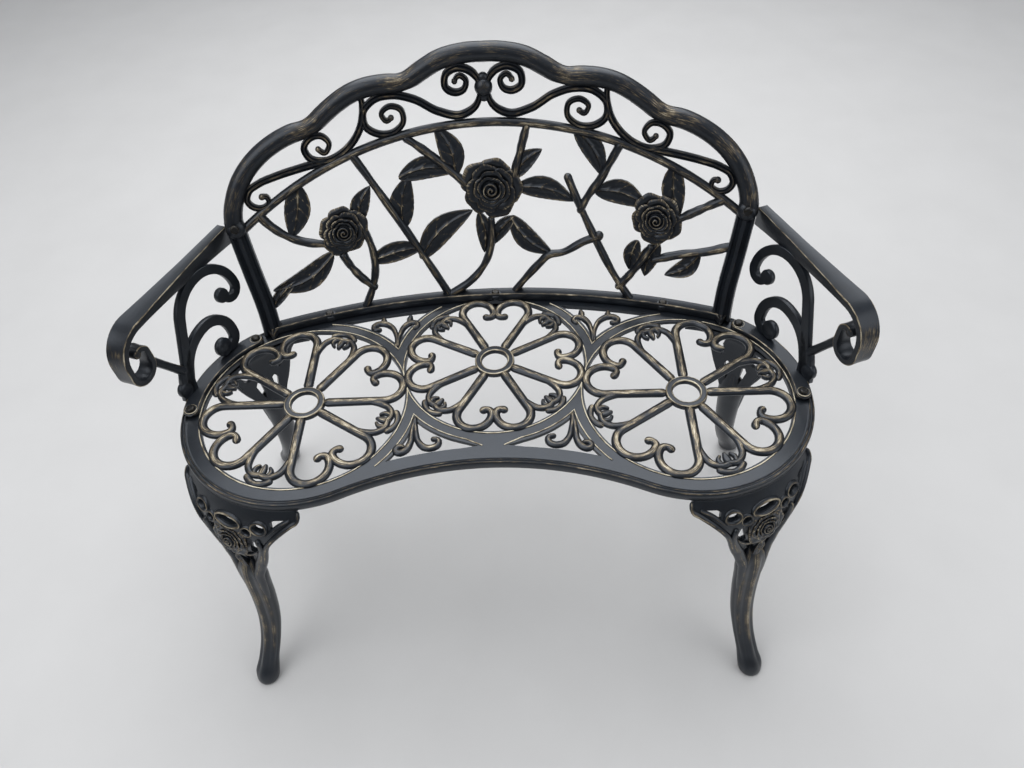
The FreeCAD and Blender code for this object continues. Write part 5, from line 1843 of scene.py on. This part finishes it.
@dataclass
class Studio:
    """Pale floor, soft lamps and the camera, in metres."""

    shift: float
    floor_half: float = 9.0
    rig: Sequence[Lamp] = (Lamp("over", (0.0, 1.3, 2.8), (0.0, 0.1, 0.4), 3.4, 88.0),
                           Lamp("key", (-1.6, -1.2, 2.7), (0.0, 0.0, 0.4), 2.6, 32.0),
                           Lamp("fill", (2.4, -1.2, 1.9), (0.0, 0.0, 0.4), 2.4, 16.0))
    world_colour: str = "#e6e9ee"
    world_top: float = 0.8
    world_glow: tuple[float, float] = (0.15, 0.44)
    sensor: float = 36.0
    lens: float = 26.37
    camera_axes: Sequence[tuple[float, float, float]] = (
        (0.99912, -0.00224, -0.04184), (0.02943, 0.74829, 0.66272), (0.02982, -0.66337, 0.7477))
    camera_spot: tuple[float, float, float] = (0.05905, -0.77956, 1.2326)

    def floor(self) -> None:
        """Lay a plain pale floor."""
        h = self.floor_half
        mesh = bpy.data.meshes.new("floor")
        mesh.from_pydata([(-h, -h, 0), (h, -h, 0), (h, h, 0), (-h, h, 0)], [], [(0, 1, 2, 3)])
        mesh.materials.append(PaleMattFloor().material())
        ground = bpy.data.objects.new("floor", mesh)
        bpy.context.scene.collection.objects.link(ground)

    def lamps(self) -> None:
        """Hang soft lamps and set a world that is brighter overhead."""
        for lamp in self.rig:
            light = bpy.data.lights.new(lamp.name, "AREA")
            light.shape = "DISK"
            light.size = lamp.size
            light.energy = lamp.power
            back = np.array(lamp.place) - np.array(lamp.aim)
            back /= np.linalg.norm(back)
            right = np.cross(UP, back)
            right /= np.linalg.norm(right)
            stand(lamp.name, light, (right, np.cross(back, right), back), lamp.place)
        world = bpy.data.worlds.new("studio")
        world.use_nodes = True
        tree = world.node_tree
        sky = tree.nodes["Background"]
        sky.inputs["Color"].default_value = linear(self.world_colour)
        ray = add_node(tree, "ShaderNodeTexCoord").outputs["Generated"]
        rise = add_node(tree, "ShaderNodeSeparateXYZ", links={"Vector": ray}).outputs["Z"]
        glow = add_node(tree, "ShaderNodeMapRange",
                        {"From Min": 0.0, "From Max": self.world_top, "To Min": self.world_glow[0],
                         "To Max": self.world_glow[1]}, {"Value": rise})
        tree.links.new(glow.outputs["Result"], sky.inputs["Strength"])
        bpy.context.scene.world = world

    def camera(self) -> None:
        """Stand the camera where the picture was taken from: above and in front, turned a little."""
        view = bpy.data.cameras.new("camera")
        view.sensor_fit = "HORIZONTAL"
        view.sensor_width = self.sensor
        view.lens = self.lens
        x, y, z = self.camera_spot
        bpy.context.scene.camera = stand("camera", view, self.camera_axes, (x, y + self.shift * MM, z))


def main() -> None:
    """Build the bench and its studio."""
    logging.basicConfig(level=logging.INFO, format="%(name)s: %(message)s")
    seat = Seat()
    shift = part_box("seat_casting")[1].y / MM - seat.rear
    paint = BrushedGoldOverBlack().material()
    steel = DarkPlatedSteel().material()
    back = Back(seat)
    arm = Arm(seat, back).build()
    front = Leg(seat, Swing.FRONT).build("right_front_leg")
    rear = Leg(seat, Swing.REAR).build("right_rear_leg")
    castings = ((seat.build(), "seat_casting"), (back.build(), "back_casting"), (arm, "right_arm_casting"),
                (arm.mirrored("left_arm"), "left_arm_casting"), (front, "right_front_leg_casting"),
                (front.mirrored("left_front_leg"), "left_front_leg_casting"),
                (rear, "right_rear_leg_casting"), (rear.mirrored("left_rear_leg"), "left_rear_leg_casting"))
    for cast, node in castings:
        cast.dress(node, shift, paint)
    Fasteners(steel).dress()
    studio = Studio(shift)
    studio.floor()
    studio.lamps()
    studio.camera()
    bpy.context.scene.view_settings.view_transform = "Standard"


if __name__ == "__main__":
    main()
